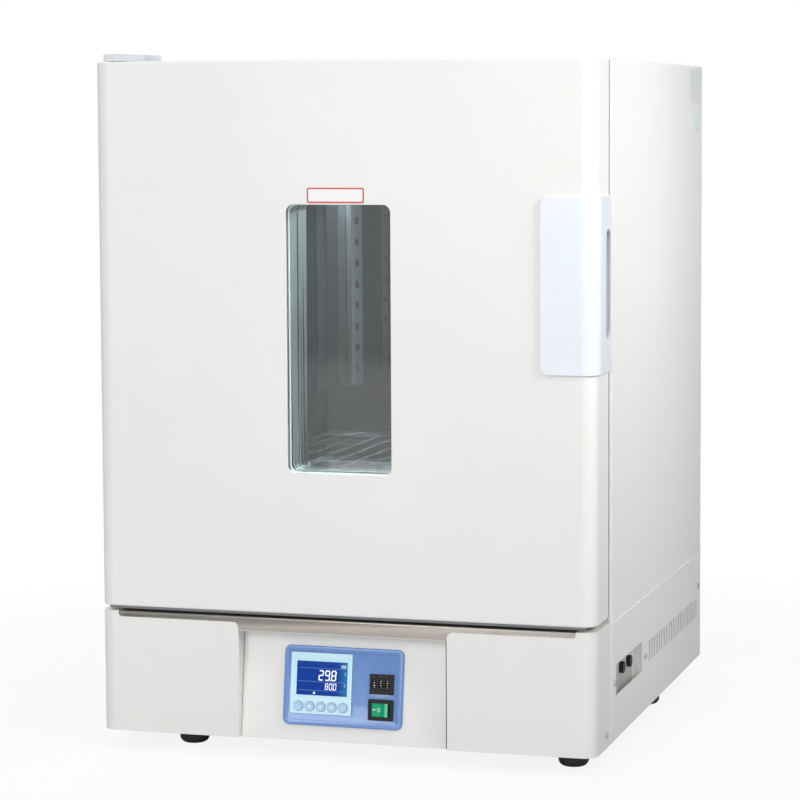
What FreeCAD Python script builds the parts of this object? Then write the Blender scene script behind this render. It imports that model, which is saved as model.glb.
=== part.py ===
import FreeCAD, Part
import os
from math import cos, radians, sin, tan
from FreeCAD import Matrix, Placement, Rotation, Vector

# Forced-air drying oven, millimetres. Z is up, the front faces -Y and the origin is on the
# floor under the middle of the cabinet.

# Cabinet
CABINET_WIDTH = 620.0
CABINET_DEPTH = 660.0
FOOT_HEIGHT = 22.0
BASE_HEIGHT = 148.0
CABINET_HEIGHT = 666.0
SHEET = 1.5
THIN_SHEET = 1.2
FRONT_CORNER_RADIUS = 18.0
CASE_BEND_RADIUS = 3.0
CASE_SKIRT = 5.0
SEAM_GAP = 0.4
FIT = 0.3

# Door
DOOR_THICKNESS = 67.0
DOOR_GAP_BELOW = 6.0
DOOR_RISE = 1.0
DOOR_EDGE_RADIUS = 2.5
GASKET_GAP = 6.0
GASKET_WIDTH = 13.0
GASKET_OFFSET = 4.0
GASKET_SQUEEZE_RADIUS = 2.4
PLUG_DEPTH = 17.0
PLUG_CLEARANCE = 11.0

# Window in the door
WINDOW_LEFT = -65.9
WINDOW_WIDTH = 129.5
WINDOW_RISE = 176.0
WINDOW_HEIGHT = 321.0
WINDOW_RADIUS = 10.0
TUNNEL_WALL = 4.0
GLASS_THICKNESS = 5.0
GLASS_GROOVE = 2.0
OUTER_GLASS_SETBACK = 7.0
INNER_GLASS_THICKNESS = 4.6

# Front frame and chamber
FRAME_DEPTH = 12.0
SIDE_WALL = 85.0
FLOOR_WALL = 75.0
TOP_WALL = 51.0
REAR_WALL = 75.0
CHAMBER_CORNER_RADIUS = 8.0
LINER_FLANGE = 15.0

# Back baffle, floor plate, heaters and sensor
BAFFLE_SETBACK = 45.0
GRILLE_SLOTS = 9
GRILLE_SLOT_HEIGHT = 7.0
GRILLE_SLOT_PITCH = 13.0
GRILLE_RADIUS = 62.0
LOW_OUTLET_WIDTH = 34.0
LOW_OUTLET_HEIGHT = 9.0
LOW_OUTLET_PITCH = 48.0
LOW_OUTLET_RISE = 46.0
FLOOR_PLATE_RISE = 82.0
FLOOR_PLATE_LIP = 27.0
HEATER_ROD_RADIUS = 4.0
HEATER_BEND_RADIUS = 32.0
HEATER_RISE = 30.0
HEATER_FRONT_MARGIN = 60.0
HEATER_SPREAD = 105.0
HEATER_TAIL = 8.0
SENSOR_RADIUS = 2.5
SENSOR_LENGTH = 90.0
SENSOR_X = -150.0
SENSOR_DROP = 45.0

# Side air ducts
DUCT_STANDOFF = 25.0
DUCT_FRONT_SETBACK = 138.0
DUCT_REAR_GAP = 53.8
DUCT_BEVEL_LENGTH = 40.0
DUCT_FLANGE_LENGTH = 45.0
DUCT_BOTTOM_RISE = 140.0
DUCT_TOP_DROP = 40.0
DUCT_SLOT_WIDTH = 8.0
DUCT_SLOT_HEIGHT = 10.0
DUCT_SLOT_PITCH = 30.5
DUCT_SLOT_MARGIN = 22.0
DUCT_SLOT_FRONT_INSET = 14.0
DUCT_SLOT_REAR_INSET = 32.0

# Wire shelves and their hooks
SHELF_FRONT_SETBACK = 55.8
SHELF_SIDE_CLEARANCE = 2.0
SHELF_FRAME_RADIUS = 3.0
SHELF_WIRE_RADIUS = 1.5
SHELF_WIRES = 13
SHELF_CROSS_BARS = 3
SHELF_REAR_CLEARANCE = 8.0
HOOK_ROWS_FROM_TOP = 1
HOOK_REACH = 13.0
HOOK_THICKNESS = 2.0
HOOK_DROP = 8.0
HOOK_BARB = 3.0

# Fan
FAN_RADIUS = 75.0
FAN_BLADES = 20
FAN_BLADE_DEPTH = 27.0
FAN_BLADE_LENGTH = 15.0
FAN_BLADE_SWEEP = 13.0
FAN_BLADE_ANGLE = 1.3
FAN_PLATE = 1.5
FAN_FRONT_CLEARANCE = 6.0
FAN_HUB_RADIUS = 13.0
FAN_HUB_LENGTH = 14.0
SHAFT_RADIUS = 5.0
SHAFT_LENGTH = 66.0
MOTOR_RADIUS = 48.0
MOTOR_LENGTH = 56.0
MOTOR_STANDOFF = 8.0
MOTOR_PLATE_SIZE = 112.0
MOTOR_PLATE_THICKNESS = 2.0
MOTOR_BOSS_RADIUS = 16.0
MOTOR_POST_RADIUS = 5.0
MOTOR_POST_SPACING = 30.0
MOTOR_ROOM = 66.0
LOUVRE_ROWS = 7
LOUVRE_PITCH = 14.0
LOUVRE_WIDTH = 90.0
LOUVRE_HEIGHT = 5.0

# Exhaust
EXHAUST_SIDE_INSET = 75.0
EXHAUST_DROP = 50.0
EXHAUST_RADIUS = 22.0
EXHAUST_FLANGE_RADIUS = 36.0
EXHAUST_PLATE = 2.0
EXHAUST_HUB_RADIUS = 6.5
EXHAUST_SECTOR_ANGLE = 80.0
DAMPER_DISC = 1.5
DAMPER_KNOB_RADIUS = 9.0
DAMPER_KNOB_HEIGHT = 7.0
DAMPER_PIN_RADIUS = 3.0
DAMPER_PIN_LENGTH = 6.0

# Base
BASE_FLANGE = 8.0
FASCIA_FLANGE = 15.0
TRAY_LIP = 14.0
NOTCH_DROP = 7.0
NOTCH_MARGIN = 24.0
NOTCH_RADIUS = 4.0
OPENING_LEFT = -131.0
OPENING_WIDTH = 261.0
OPENING_CORNER_RADIUS = 8.0
DECK_LIP = 15.0
VENT_SLOTS = 21
VENT_PITCH = 15.9
VENT_WIDTH = 6.0
VENT_HEIGHT = 27.0
VENT_SETBACK = 308.3
VENT_RISE = 57.0

# Feet
FOOT_RADIUS = 18.2
FOOT_SOLE_RADIUS = 12.5
FOOT_BULGE_HEIGHT = 9.0
FOOT_BOSS_RADIUS = 10.0
FOOT_FRONT_SETBACK = 60.0
FOOT_REAR_SETBACK = 427.0
FOOT_LEFT_INSET = 99.0
FOOT_RIGHT_FRONT_INSET = 40.0
FOOT_RIGHT_REAR_INSET = 29.0

# Slanted control panel. On it, x runs right, s up the slope from its foot, and depths are
# measured from its surface, negative in front of it.
PANEL_TILT = 8.0
PANEL_SETBACK = 6.5
PANEL_SHEET = 2.0
PANEL_EDGE_GAP = 0.5
BEZEL_LEFT = -77.5
BEZEL_WIDTH = 149.7
BEZEL_BOTTOM = 18.5
BEZEL_HEIGHT = 95.5
BEZEL_THICKNESS = 4.0
BEZEL_RADIUS = 8.0
BEZEL_EDGE_RADIUS = 1.6
BEZEL_RIM = 6.3
BEZEL_FIELD_DEPTH = 1.0
BEZEL_FIELD_RADIUS = 3.0
BEZEL_SPIGOT_INSET = 5.5
CONTROLLER_LEFT = -69.2
CONTROLLER_WIDTH = 77.8
CONTROLLER_BOTTOM = 32.0
CONTROLLER_HEIGHT = 74.0
CONTROLLER_DEPTH = 55.0
SCREEN_LEFT = -61.4
SCREEN_WIDTH = 64.0
SCREEN_BOTTOM = 54.6
SCREEN_HEIGHT = 41.0
SCREEN_THICKNESS = 1.8
KEY_COUNT = 5
KEY_FIRST_X = -57.9
KEY_PITCH = 14.0
KEY_S = 41.3
KEY_RADIUS = 5.9
KEY_PROUD = 0.8
KEY_LENGTH = 3.0
KEY_TRAVEL = 0.8
KEY_CLEARANCE = 0.2

# Pushwheel switch
WHEEL_COUNT = 3
WHEEL_FIRST_X = 36.8
WHEEL_PITCH = 8.2
WHEEL_S = 72.0
WHEEL_RADIUS = 9.0
WHEEL_WIDTH = 4.8
WHEEL_BORE = 1.3
WHEEL_PIN_RADIUS = 1.1
WHEEL_ROOM = 0.6
WHEEL_DEPTH = 7.4
PUSHWHEEL_LEFT = 31.0
PUSHWHEEL_WIDTH = 30.0
PUSHWHEEL_HEIGHT = 24.0
PUSHWHEEL_PROUD = 1.6
PUSHWHEEL_FLANGE = 1.5
PUSHWHEEL_BODY_DEPTH = 19.0
DIGIT_WINDOW_WIDTH = 5.6
DIGIT_WINDOW_HEIGHT = 8.4
TAB_WIDTH = 4.4
TAB_HEIGHT = 2.4
TAB_OFFSET = 8.9
TAB_LENGTH = 3.7
TAB_PROUD = 0.7
TAB_TRAVEL = 1.2
TAB_CLEARANCE = 0.2

# Rocker switch
ROCKER_LEFT = 30.2
ROCKER_WIDTH = 31.1
ROCKER_BOTTOM = 28.9
ROCKER_HEIGHT = 25.2
ROCKER_PROUD = 2.2
ROCKER_FLANGE = 1.8
ROCKER_BODY_DEPTH = 20.0
PADDLE_HALF_LENGTH = 10.3
PADDLE_HALF_WIDTH = 7.9
PADDLE_END_HEIGHT = 5.2
PADDLE_MIDDLE_HEIGHT = 3.6
PADDLE_ROOT_HALF_LENGTH = 8.5
PADDLE_ROOT_DEPTH = 3.0
PADDLE_PIVOT_DEPTH = -1.0
PADDLE_PIVOT_RADIUS = 1.4
PADDLE_PIVOT_REACH = 1.5
PADDLE_SIDE_CLEARANCE = 1.1
PADDLE_END_CLEARANCE = 0.25
PADDLE_ROOM_DEPTH = 12.0
PADDLE_PIVOT_CLEARANCE = 0.15
ROCKER_THROW = 20.0

# Recess in the right side panel
RECESS_SETBACK = 113.4
RECESS_LENGTH = 151.1
RECESS_BOTTOM_RISE = 52.7
RECESS_HEIGHT = 37.9
RECESS_DEPTH = 12.5
PAN_MARGIN = 12.0
PAN_FRONT_MARGIN = 4.0
FUSE_FIRST_INSET = 78.6
FUSE_PITCH = 42.0
FUSE_CAP_RADIUS = 7.3
FUSE_CAP_HEIGHT = 5.5
FUSE_BODY_RADIUS = 6.0
FUSE_BODY_LENGTH = 24.0

# Handle and latch
HANDLE_WIDTH = 69.0
HANDLE_PROUD = 3.0
HANDLE_RISE = 300.0
HANDLE_HEIGHT = 207.0
HANDLE_CORNER_RADIUS = 10.0
HANDLE_FRAME_GAP = 0.5
POCKET_WIDTH = 48.0
POCKET_SETBACK = 30.0
POCKET_WALL = 3.0
POCKET_BOTTOM_RISE = 32.0
POCKET_HEIGHT = 143.0
GRIP_SETBACK = 42.0
GRIP_BOTTOM_RISE = 39.0
GRIP_HEIGHT = 129.0
LEVER_PIVOT_INSET = 26.0
LEVER_REACH = 23.0
LEVER_THICKNESS = 3.0
LEVER_END_CLEARANCE = 6.0
LEVER_PIN_RADIUS = 2.0
LEVER_PIN_CLEARANCE = 0.2
LEVER_HUB_RADIUS = 3.2
ARM_WIDTH = 22.0
ARM_THICKNESS = 8.0
NOSE_OFFSET = 18.0
NOSE_HOOK = 2.2
NOSE_REACH = 7.0
KEEPER_PLATE = 1.7
KEEPER_MARGIN = 9.0
KEEPER_GAP = 0.5
KEEPER_OPENING = 20.0
KEEPER_SLOT_MARGIN = 4.0
DOOR_SLOT_MARGIN = 3.0

# Hinges
HINGE_SIDE_INSET = 19.0
HINGE_SETBACK = 30.0
HINGE_PIN_RADIUS = 4.0
HINGE_PIN_LENGTH = 24.0
HINGE_ARM_WIDTH = 15.0
HINGE_ARM_THICKNESS = 4.0
HINGE_ARM_GAP = 1.4
HINGE_ARM_SEAT = 30.0
BUSH_RADIUS = 7.0
BUSH_LENGTH = 26.0
CAP_SIDE_INSET = 9.5
CAP_FRONT_WIDTH = 18.0
CAP_REAR_WIDTH = 33.0
CAP_SETBACK = 10.0
CAP_SLOPE_LENGTH = 51.0
CAP_LENGTH = 108.0
CAP_HEIGHT = 10.5
CAP_WALL = 1.5
CAP_DOOR_GAP = 0.8

# Screws and cable gland
SCREW_HEAD_RADIUS = 3.6
SCREW_HEAD_HEIGHT = 2.2
SCREW_SHANK_RADIUS = 2.0
SCREW_SHANK_LENGTH = 6.0
SCREW_CLEARANCE = 0.2
FASCIA_SCREW_SETBACK = 57.0
FASCIA_SCREW_RISE = 15.6
SIDE_SCREW_SETBACKS = (103.0, 281.0)
SIDE_SCREW_RISE = 69.5
REAR_CORNER_SCREW_INSET = 20.0
REAR_CORNER_SCREW_RISE = 100.0
REAR_SCREW_INSET = 20.0
REAR_SCREW_ROWS = 4
REAR_SCREW_BOTTOM_RISE = 38.0
REAR_SCREW_TOP_DROP = 21.0
PAN_SCREW_INSET = 56.6
PAN_SCREW_RISE = 14.0
GLAND_INSET = 110.0
GLAND_RISE = 58.0
GLAND_RADIUS = 12.0
GLAND_LENGTH = 10.5
GLAND_THREAD_RADIUS = 8.0
GLAND_BORE_RADIUS = 4.5
GLAND_TAIL = 14.0

# Places that follow from the sizes above
HALF_WIDTH = CABINET_WIDTH / 2
FRONT_Y = -CABINET_DEPTH / 2
REAR_Y = CABINET_DEPTH / 2
BASE_Z = FOOT_HEIGHT
DECK_Z = BASE_Z + BASE_HEIGHT
TOP_Z = DECK_Z + CABINET_HEIGHT
CASE_Z = DECK_Z - CASE_SKIRT
DOOR_BACK_Y = FRONT_Y + DOOR_THICKNESS
DOOR_BOTTOM_Z = DECK_Z + DOOR_GAP_BELOW
DOOR_TOP_Z = TOP_Z + DOOR_RISE
FRAME_FACE_Y = DOOR_BACK_Y + GASKET_GAP
CASE_FRONT_Y = FRAME_FACE_Y + FRAME_DEPTH
INNER_HALF_WIDTH = HALF_WIDTH - SHEET
REAR_SHEET_Y = REAR_Y - SHEET
CHAMBER_HALF = HALF_WIDTH - SIDE_WALL
CHAMBER_Z = DECK_Z + FLOOR_WALL
CHAMBER_TOP_Z = TOP_Z - TOP_WALL
LINER_BACK_Y = REAR_Y - REAR_WALL
LINER_REAR_Y = LINER_BACK_Y + THIN_SHEET
BAFFLE_Y = LINER_BACK_Y - BAFFLE_SETBACK
FLOOR_PLATE_Z = CHAMBER_Z + FLOOR_PLATE_RISE
WINDOW_BOTTOM = DECK_Z + WINDOW_RISE
WINDOW_RIGHT = WINDOW_LEFT + WINDOW_WIDTH
WINDOW_TOP = WINDOW_BOTTOM + WINDOW_HEIGHT
PLUG_HALF = CHAMBER_HALF - PLUG_CLEARANCE
PLUG_Z = CHAMBER_Z + PLUG_CLEARANCE
PLUG_TOP_Z = CHAMBER_TOP_Z - PLUG_CLEARANCE
PLUG_FACE_Y = DOOR_BACK_Y + PLUG_DEPTH
DUCT_FACE_X = CHAMBER_HALF - DUCT_STANDOFF
DUCT_FRONT_Y = CASE_FRONT_Y + DUCT_FRONT_SETBACK
DUCT_REAR_Y = BAFFLE_Y - THIN_SHEET - DUCT_REAR_GAP
DUCT_BEVEL_END_Y = DUCT_REAR_Y - DUCT_FLANGE_LENGTH
DUCT_FACE_END_Y = DUCT_BEVEL_END_Y - DUCT_BEVEL_LENGTH
DUCT_Z = CHAMBER_Z + DUCT_BOTTOM_RISE
DUCT_TOP_Z = CHAMBER_TOP_Z - DUCT_TOP_DROP
DUCT_SLOT_ROWS = 1 + int((DUCT_TOP_Z - DUCT_Z - 1.5 * DUCT_SLOT_MARGIN) / DUCT_SLOT_PITCH)
DUCT_SLOT_YS = (DUCT_FRONT_Y + DUCT_SLOT_FRONT_INSET, DUCT_FACE_END_Y - DUCT_SLOT_REAR_INSET)
FAN_Z = (DUCT_Z + DUCT_TOP_Z) / 2
LOW_OUTLETS = int((2 * CHAMBER_HALF - LOW_OUTLET_PITCH / 2) / LOW_OUTLET_PITCH)
PANEL_FOOT_Y = FRONT_Y + PANEL_SETBACK
PANEL_TOP_Z = DECK_Z - DECK_LIP - FIT
OPENING_RIGHT = OPENING_LEFT + OPENING_WIDTH
PANEL_LEFT = OPENING_LEFT + PANEL_EDGE_GAP
PANEL_RIGHT = OPENING_RIGHT - PANEL_EDGE_GAP
FIELD_DEPTH = BEZEL_FIELD_DEPTH - BEZEL_THICKNESS
HANDLE_LEFT = HALF_WIDTH + HANDLE_PROUD - HANDLE_WIDTH
HANDLE_BOTTOM = DECK_Z + HANDLE_RISE
POCKET_INNER_X = HALF_WIDTH - POCKET_WIDTH
POCKET_FRONT_Y = FRONT_Y + POCKET_SETBACK
GRIP_FRONT_Y = FRONT_Y + GRIP_SETBACK
POCKET_Z = HANDLE_BOTTOM + POCKET_BOTTOM_RISE
POCKET_TOP_Z = POCKET_Z + POCKET_HEIGHT
POCKET_REAR_Y = DOOR_BACK_Y - SHEET
ARM_Z = HANDLE_BOTTOM + HANDLE_HEIGHT / 2 - ARM_WIDTH / 2
LEVER_PIVOT_X = HALF_WIDTH - LEVER_PIVOT_INSET
LEVER_PIVOT_Y = GRIP_FRONT_Y - LEVER_THICKNESS / 2
NOSE_X = LEVER_PIVOT_X - NOSE_OFFSET
NOSE_TIP_Y = FRAME_FACE_Y + NOSE_REACH
KEEPER_LEFT = NOSE_X - KEEPER_GAP
HINGE_X = HINGE_SIDE_INSET - HALF_WIDTH
HINGE_Y = FRONT_Y + HINGE_SETBACK
HINGE_ARM_REAR_Y = CASE_FRONT_Y + HINGE_ARM_SEAT
CAP_LEFT_X = CAP_SIDE_INSET - HALF_WIDTH
CAP_FRONT_Y = FRONT_Y + CAP_SETBACK
EXHAUST_X = CHAMBER_HALF - EXHAUST_SIDE_INSET
EXHAUST_Z = CHAMBER_TOP_Z - EXHAUST_DROP
RECESS_Z = BASE_Z + RECESS_BOTTOM_RISE
VENT_Z = BASE_Z + VENT_RISE
GLAND_Z = BASE_Z + GLAND_RISE
VENT_FIRST_Y = FRONT_Y + VENT_SETBACK
RECESS_FRONT_Y = FRONT_Y + RECESS_SETBACK
PAN_X = HALF_WIDTH - RECESS_DEPTH
GLAND_X = GLAND_INSET - HALF_WIDTH
EPS = 1.0


def box(x0, x1, y0, y1, z0, z1):
    """Block between two opposite corners."""
    return Part.makeBox(x1 - x0, y1 - y0, z1 - z0, Vector(x0, y0, z0))


def rod(radius, start, end):
    """Round bar from one point to another."""
    axis = Vector(*end) - Vector(*start)
    return Part.makeCylinder(radius, axis.Length, Vector(*start), axis)


def rounded_face(a0, a1, b0, b1, radii):
    """Rectangle in the XY plane, with a radius for each corner, counted from (a0, b0) round."""
    corners = (
        (Vector(a0, b0, 0), Vector(0, -1, 0), Vector(1, 0, 0)),
        (Vector(a1, b0, 0), Vector(1, 0, 0), Vector(0, 1, 0)),
        (Vector(a1, b1, 0), Vector(0, 1, 0), Vector(-1, 0, 0)),
        (Vector(a0, b1, 0), Vector(-1, 0, 0), Vector(0, -1, 0)),
    )
    arcs = []
    for (corner, arriving, leaving), radius in zip(corners, radii):
        start = corner - arriving * radius
        end = corner + leaving * radius
        centre = start + leaving * radius
        middle = centre + (corner - centre) * (1 / 2 ** 0.5)
        arcs.append((start, middle, end, radius))
    edges = []
    for index, (start, middle, end, radius) in enumerate(arcs):
        if radius > 0:
            edges.append(Part.Arc(start, middle, end).toShape())
        following = arcs[(index + 1) % 4][0]
        edges.append(Part.LineSegment(end, following).toShape())
    return Part.Face(Part.Wire(edges))


def prism_x(face, x0, x1):
    """Extrude an outline drawn in (Y, Z) from x0 to x1."""
    turned = face.copy()
    turned.Placement = Placement(Vector(x0, 0, 0), Rotation(Vector(1, 1, 1), 120))
    return turned.extrude(Vector(x1 - x0, 0, 0))


def prism_y(face, y0, y1):
    """Extrude an outline drawn in (X, Z) from y0 to y1."""
    turned = face.copy()
    turned.Placement = Placement(Vector(0, y0, 0), Rotation(Vector(1, 0, 0), 90))
    return turned.extrude(Vector(0, y1 - y0, 0))


def prism_z(face, z0, z1):
    """Extrude an outline drawn in (X, Y) from z0 to z1."""
    moved = face.copy()
    moved.Placement = Placement(Vector(0, 0, z0), Rotation())
    return moved.extrude(Vector(0, 0, z1 - z0))


def polygon(points):
    """Flat face through points given as pairs in the XY plane."""
    corners = [Vector(a, b, 0) for a, b in points]
    return Part.Face(Part.makePolygon(corners + corners[:1]))


def fused(first, *others):
    """One clean solid from several that touch."""
    return first.fuse(list(others)).removeSplitter()


def edges_where(shape, test):
    """Edges whose bounding box passes a test."""
    return [edge for edge in shape.Edges if test(edge.BoundBox)]


def on_panel(shape):
    """Carry a shape from the upright frame of the control panel to its slanted place."""
    place = Placement(Vector(0, PANEL_FOOT_Y, BASE_Z), Rotation(Vector(1, 0, 0), -PANEL_TILT))
    return shape.transformed(place.toMatrix(), True)


def mirrored(shape):
    """The same piece for the other side of the cabinet."""
    flip = Matrix()
    flip.A11 = -1
    return shape.transformed(flip, True)


def wrapped_prism(inset, z0, z1, y1):
    """Block with the two rounded front corners that the base and the door share."""
    radius = FRONT_CORNER_RADIUS - inset
    outline = rounded_face(
        inset - HALF_WIDTH, HALF_WIDTH - inset, FRONT_Y + inset, y1, (radius, radius, 0, 0)
    )
    return prism_z(outline, z0, z1)


def screw(place, direction):
    """Pan-head screw whose head bears on the surface at place, pointing in direction."""
    axis = Vector(*direction)
    seat = Vector(*place)
    shank = Part.makeCylinder(SCREW_SHANK_RADIUS, SCREW_SHANK_LENGTH, seat, axis)
    head = Part.makeCylinder(SCREW_HEAD_RADIUS, SCREW_HEAD_HEIGHT, seat, axis * -1)
    crown = edges_where(
        head, lambda b: (b.Center - seat).Length > SCREW_HEAD_HEIGHT * 0.9 and b.DiagonalLength > 1
    )
    rounded = head.makeFillet(SCREW_HEAD_HEIGHT * 0.5, crown)
    return fused(rounded, shank)


def screw_hole(place, direction):
    """Clearance hole for one screw through a sheet."""
    axis = Vector(*direction)
    start = Vector(*place) - axis * EPS
    return Part.makeCylinder(SCREW_SHANK_RADIUS + SCREW_CLEARANCE, SHEET + 2 * EPS, start, axis)


# Screws on the outside, each as a place on a surface and the way its shank points
INTO_RIGHT = (-1, 0, 0)
INTO_LEFT = (1, 0, 0)
FASCIA_SCREWS = tuple(
    ((side * HALF_WIDTH, FRONT_Y + FASCIA_SCREW_SETBACK, BASE_Z + FASCIA_SCREW_RISE), way)
    for side, way in ((1, INTO_RIGHT), (-1, INTO_LEFT))
)
SIDE_SCREWS = tuple(
    ((HALF_WIDTH, FRONT_Y + setback, BASE_Z + SIDE_SCREW_RISE), INTO_RIGHT)
    for setback in SIDE_SCREW_SETBACKS
) + (
    ((HALF_WIDTH, REAR_Y - REAR_CORNER_SCREW_INSET, BASE_Z + REAR_CORNER_SCREW_RISE), INTO_RIGHT),
)
REAR_SCREW_LOW_Z = BASE_Z + REAR_SCREW_BOTTOM_RISE
REAR_SCREW_STEP = (TOP_Z - REAR_SCREW_TOP_DROP - REAR_SCREW_LOW_Z) / (REAR_SCREW_ROWS - 1)
REAR_SCREWS = tuple(
    ((side * (HALF_WIDTH - REAR_SCREW_INSET), REAR_Y, REAR_SCREW_LOW_Z + row * REAR_SCREW_STEP),
     (0, -1, 0))
    for side in (-1, 1) for row in range(REAR_SCREW_ROWS)
)
PAN_SCREW = ((PAN_X, RECESS_FRONT_Y + PAN_SCREW_INSET, RECESS_Z + PAN_SCREW_RISE), INTO_RIGHT)


def outer_case():
    """Folded sleeve of sheet steel: two sides, top and floor."""
    bend = CASE_BEND_RADIUS
    outline = rounded_face(-HALF_WIDTH, HALF_WIDTH, CASE_Z, TOP_Z, (0, 0, bend, bend))
    inner_bend = bend - SHEET
    hollow = rounded_face(
        -INNER_HALF_WIDTH, INNER_HALF_WIDTH, CASE_Z + SHEET, TOP_Z - SHEET,
        (0, 0, inner_bend, inner_bend)
    )
    sleeve = prism_y(outline, CASE_FRONT_Y, REAR_Y)
    rear_strip = box(-INNER_HALF_WIDTH, INNER_HALF_WIDTH, REAR_SHEET_Y, REAR_Y + EPS,
                     CASE_Z - EPS, CASE_Z + 2 * SHEET)
    return sleeve.cut([prism_y(hollow, CASE_FRONT_Y - EPS, REAR_Y + EPS), rear_strip])


def front_frame():
    """Folded ring round the mouth of the chamber, which the door gasket presses on."""
    bend = CASE_BEND_RADIUS
    outline = rounded_face(-HALF_WIDTH, HALF_WIDTH, DECK_Z, TOP_Z, (0, 0, bend, bend))
    ring = prism_y(outline, FRAME_FACE_Y, CASE_FRONT_Y)
    corner = CHAMBER_CORNER_RADIUS
    mouth = rounded_face(-CHAMBER_HALF, CHAMBER_HALF, CHAMBER_Z, CHAMBER_TOP_Z, (corner,) * 4)
    ring = ring.cut(prism_y(mouth, FRAME_FACE_Y - EPS, CASE_FRONT_Y + EPS))
    hollow_outer = rounded_face(
        -INNER_HALF_WIDTH, INNER_HALF_WIDTH, DECK_Z + SHEET, TOP_Z - SHEET, (0, 0, 1.5, 1.5)
    )
    hollow_inner = rounded_face(
        -CHAMBER_HALF - SHEET, CHAMBER_HALF + SHEET, CHAMBER_Z - SHEET, CHAMBER_TOP_Z + SHEET,
        (corner + SHEET,) * 4
    )
    hollow = prism_y(hollow_outer, FRAME_FACE_Y + SHEET, CASE_FRONT_Y + EPS)
    hollow = hollow.cut(prism_y(hollow_inner, FRAME_FACE_Y, CASE_FRONT_Y + 2 * EPS))
    return ring.cut(hollow).cut(keeper_slot(FRAME_FACE_Y - EPS, FRAME_FACE_Y + SHEET + EPS, 2.0))


def keeper_slot(y0, y1, grow):
    """Slot that the latch nose passes through, grown a little on each side."""
    reach = KEEPER_SLOT_MARGIN + grow
    return box(KEEPER_LEFT - grow, KEEPER_LEFT + KEEPER_OPENING + grow, y0, y1,
               ARM_Z - reach, ARM_Z + ARM_WIDTH + reach)


def latch_keeper():
    """Flat plate on the front frame, whose left lip the latch nose catches."""
    left = KEEPER_LEFT - KEEPER_MARGIN
    right = KEEPER_LEFT + KEEPER_OPENING + KEEPER_MARGIN
    reach = KEEPER_SLOT_MARGIN + 2 * KEEPER_MARGIN
    outline = rounded_face(left, right, ARM_Z - reach, ARM_Z + ARM_WIDTH + reach, (3.0,) * 4)
    plate = prism_y(outline, FRAME_FACE_Y - KEEPER_PLATE, FRAME_FACE_Y)
    return plate.cut(keeper_slot(FRAME_FACE_Y - KEEPER_PLATE - EPS, FRAME_FACE_Y + EPS, 0.0))


def rear_cover():
    """Flat back of the cabinet, with slots behind the fan motor and holes for the fittings."""
    outline = rounded_face(
        -INNER_HALF_WIDTH, INNER_HALF_WIDTH, BASE_Z + SHEET, TOP_Z - SHEET, (0, 0, 1.5, 1.5)
    )
    cover = prism_y(outline, REAR_SHEET_Y, REAR_Y)
    end = LOUVRE_HEIGHT * 0.48
    for row in range(LOUVRE_ROWS):
        z = FAN_Z + (row - (LOUVRE_ROWS - 1) / 2) * LOUVRE_PITCH
        slot = rounded_face(-LOUVRE_WIDTH / 2, LOUVRE_WIDTH / 2, z - LOUVRE_HEIGHT / 2,
                            z + LOUVRE_HEIGHT / 2, (end,) * 4)
        cover = cover.cut(prism_y(slot, REAR_SHEET_Y - EPS, REAR_Y + EPS))
    exhaust = rod(EXHAUST_RADIUS + FIT, (EXHAUST_X, REAR_SHEET_Y - EPS, EXHAUST_Z),
                  (EXHAUST_X, REAR_Y + EPS, EXHAUST_Z))
    gland = rod(GLAND_THREAD_RADIUS + FIT, (GLAND_X, REAR_SHEET_Y - EPS, GLAND_Z),
                (GLAND_X, REAR_Y + EPS, GLAND_Z))
    cover = cover.cut([exhaust, gland])
    return cover.cut([screw_hole(*place) for place in REAR_SCREWS])


def chamber_liner():
    """Stainless box open to the front, with a flange behind the front frame."""
    corner = CHAMBER_CORNER_RADIUS
    sheet = THIN_SHEET
    outer = rounded_face(
        -CHAMBER_HALF - sheet, CHAMBER_HALF + sheet, CHAMBER_Z - sheet, CHAMBER_TOP_Z + sheet,
        (corner + sheet,) * 4
    )
    inner = rounded_face(-CHAMBER_HALF, CHAMBER_HALF, CHAMBER_Z, CHAMBER_TOP_Z, (corner,) * 4)
    flange = rounded_face(
        -CHAMBER_HALF - LINER_FLANGE, CHAMBER_HALF + LINER_FLANGE,
        CHAMBER_Z - LINER_FLANGE, CHAMBER_TOP_Z + LINER_FLANGE, (corner,) * 4
    )
    body = fused(
        prism_y(outer, CASE_FRONT_Y, LINER_REAR_Y),
        prism_y(flange, CASE_FRONT_Y, CASE_FRONT_Y + sheet),
    )
    body = body.cut(prism_y(inner, CASE_FRONT_Y - EPS, LINER_BACK_Y))
    holes = [rod(SHAFT_RADIUS + 2.0, (0, LINER_BACK_Y - EPS, FAN_Z), (0, LINER_REAR_Y + EPS, FAN_Z))]
    holes.append(rod(EXHAUST_RADIUS - 2.0, (EXHAUST_X, LINER_BACK_Y - EPS, EXHAUST_Z),
                     (EXHAUST_X, LINER_REAR_Y + EPS, EXHAUST_Z)))
    for x, z in heater_ends():
        holes.append(rod(HEATER_ROD_RADIUS + FIT, (x, LINER_BACK_Y - EPS, z),
                         (x, LINER_REAR_Y + EPS, z)))
    sensor_z = CHAMBER_TOP_Z - SENSOR_DROP
    holes.append(rod(SENSOR_RADIUS + FIT, (SENSOR_X, LINER_BACK_Y - EPS, sensor_z),
                     (SENSOR_X, LINER_REAR_Y + EPS, sensor_z)))
    return body.cut(holes)


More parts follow.
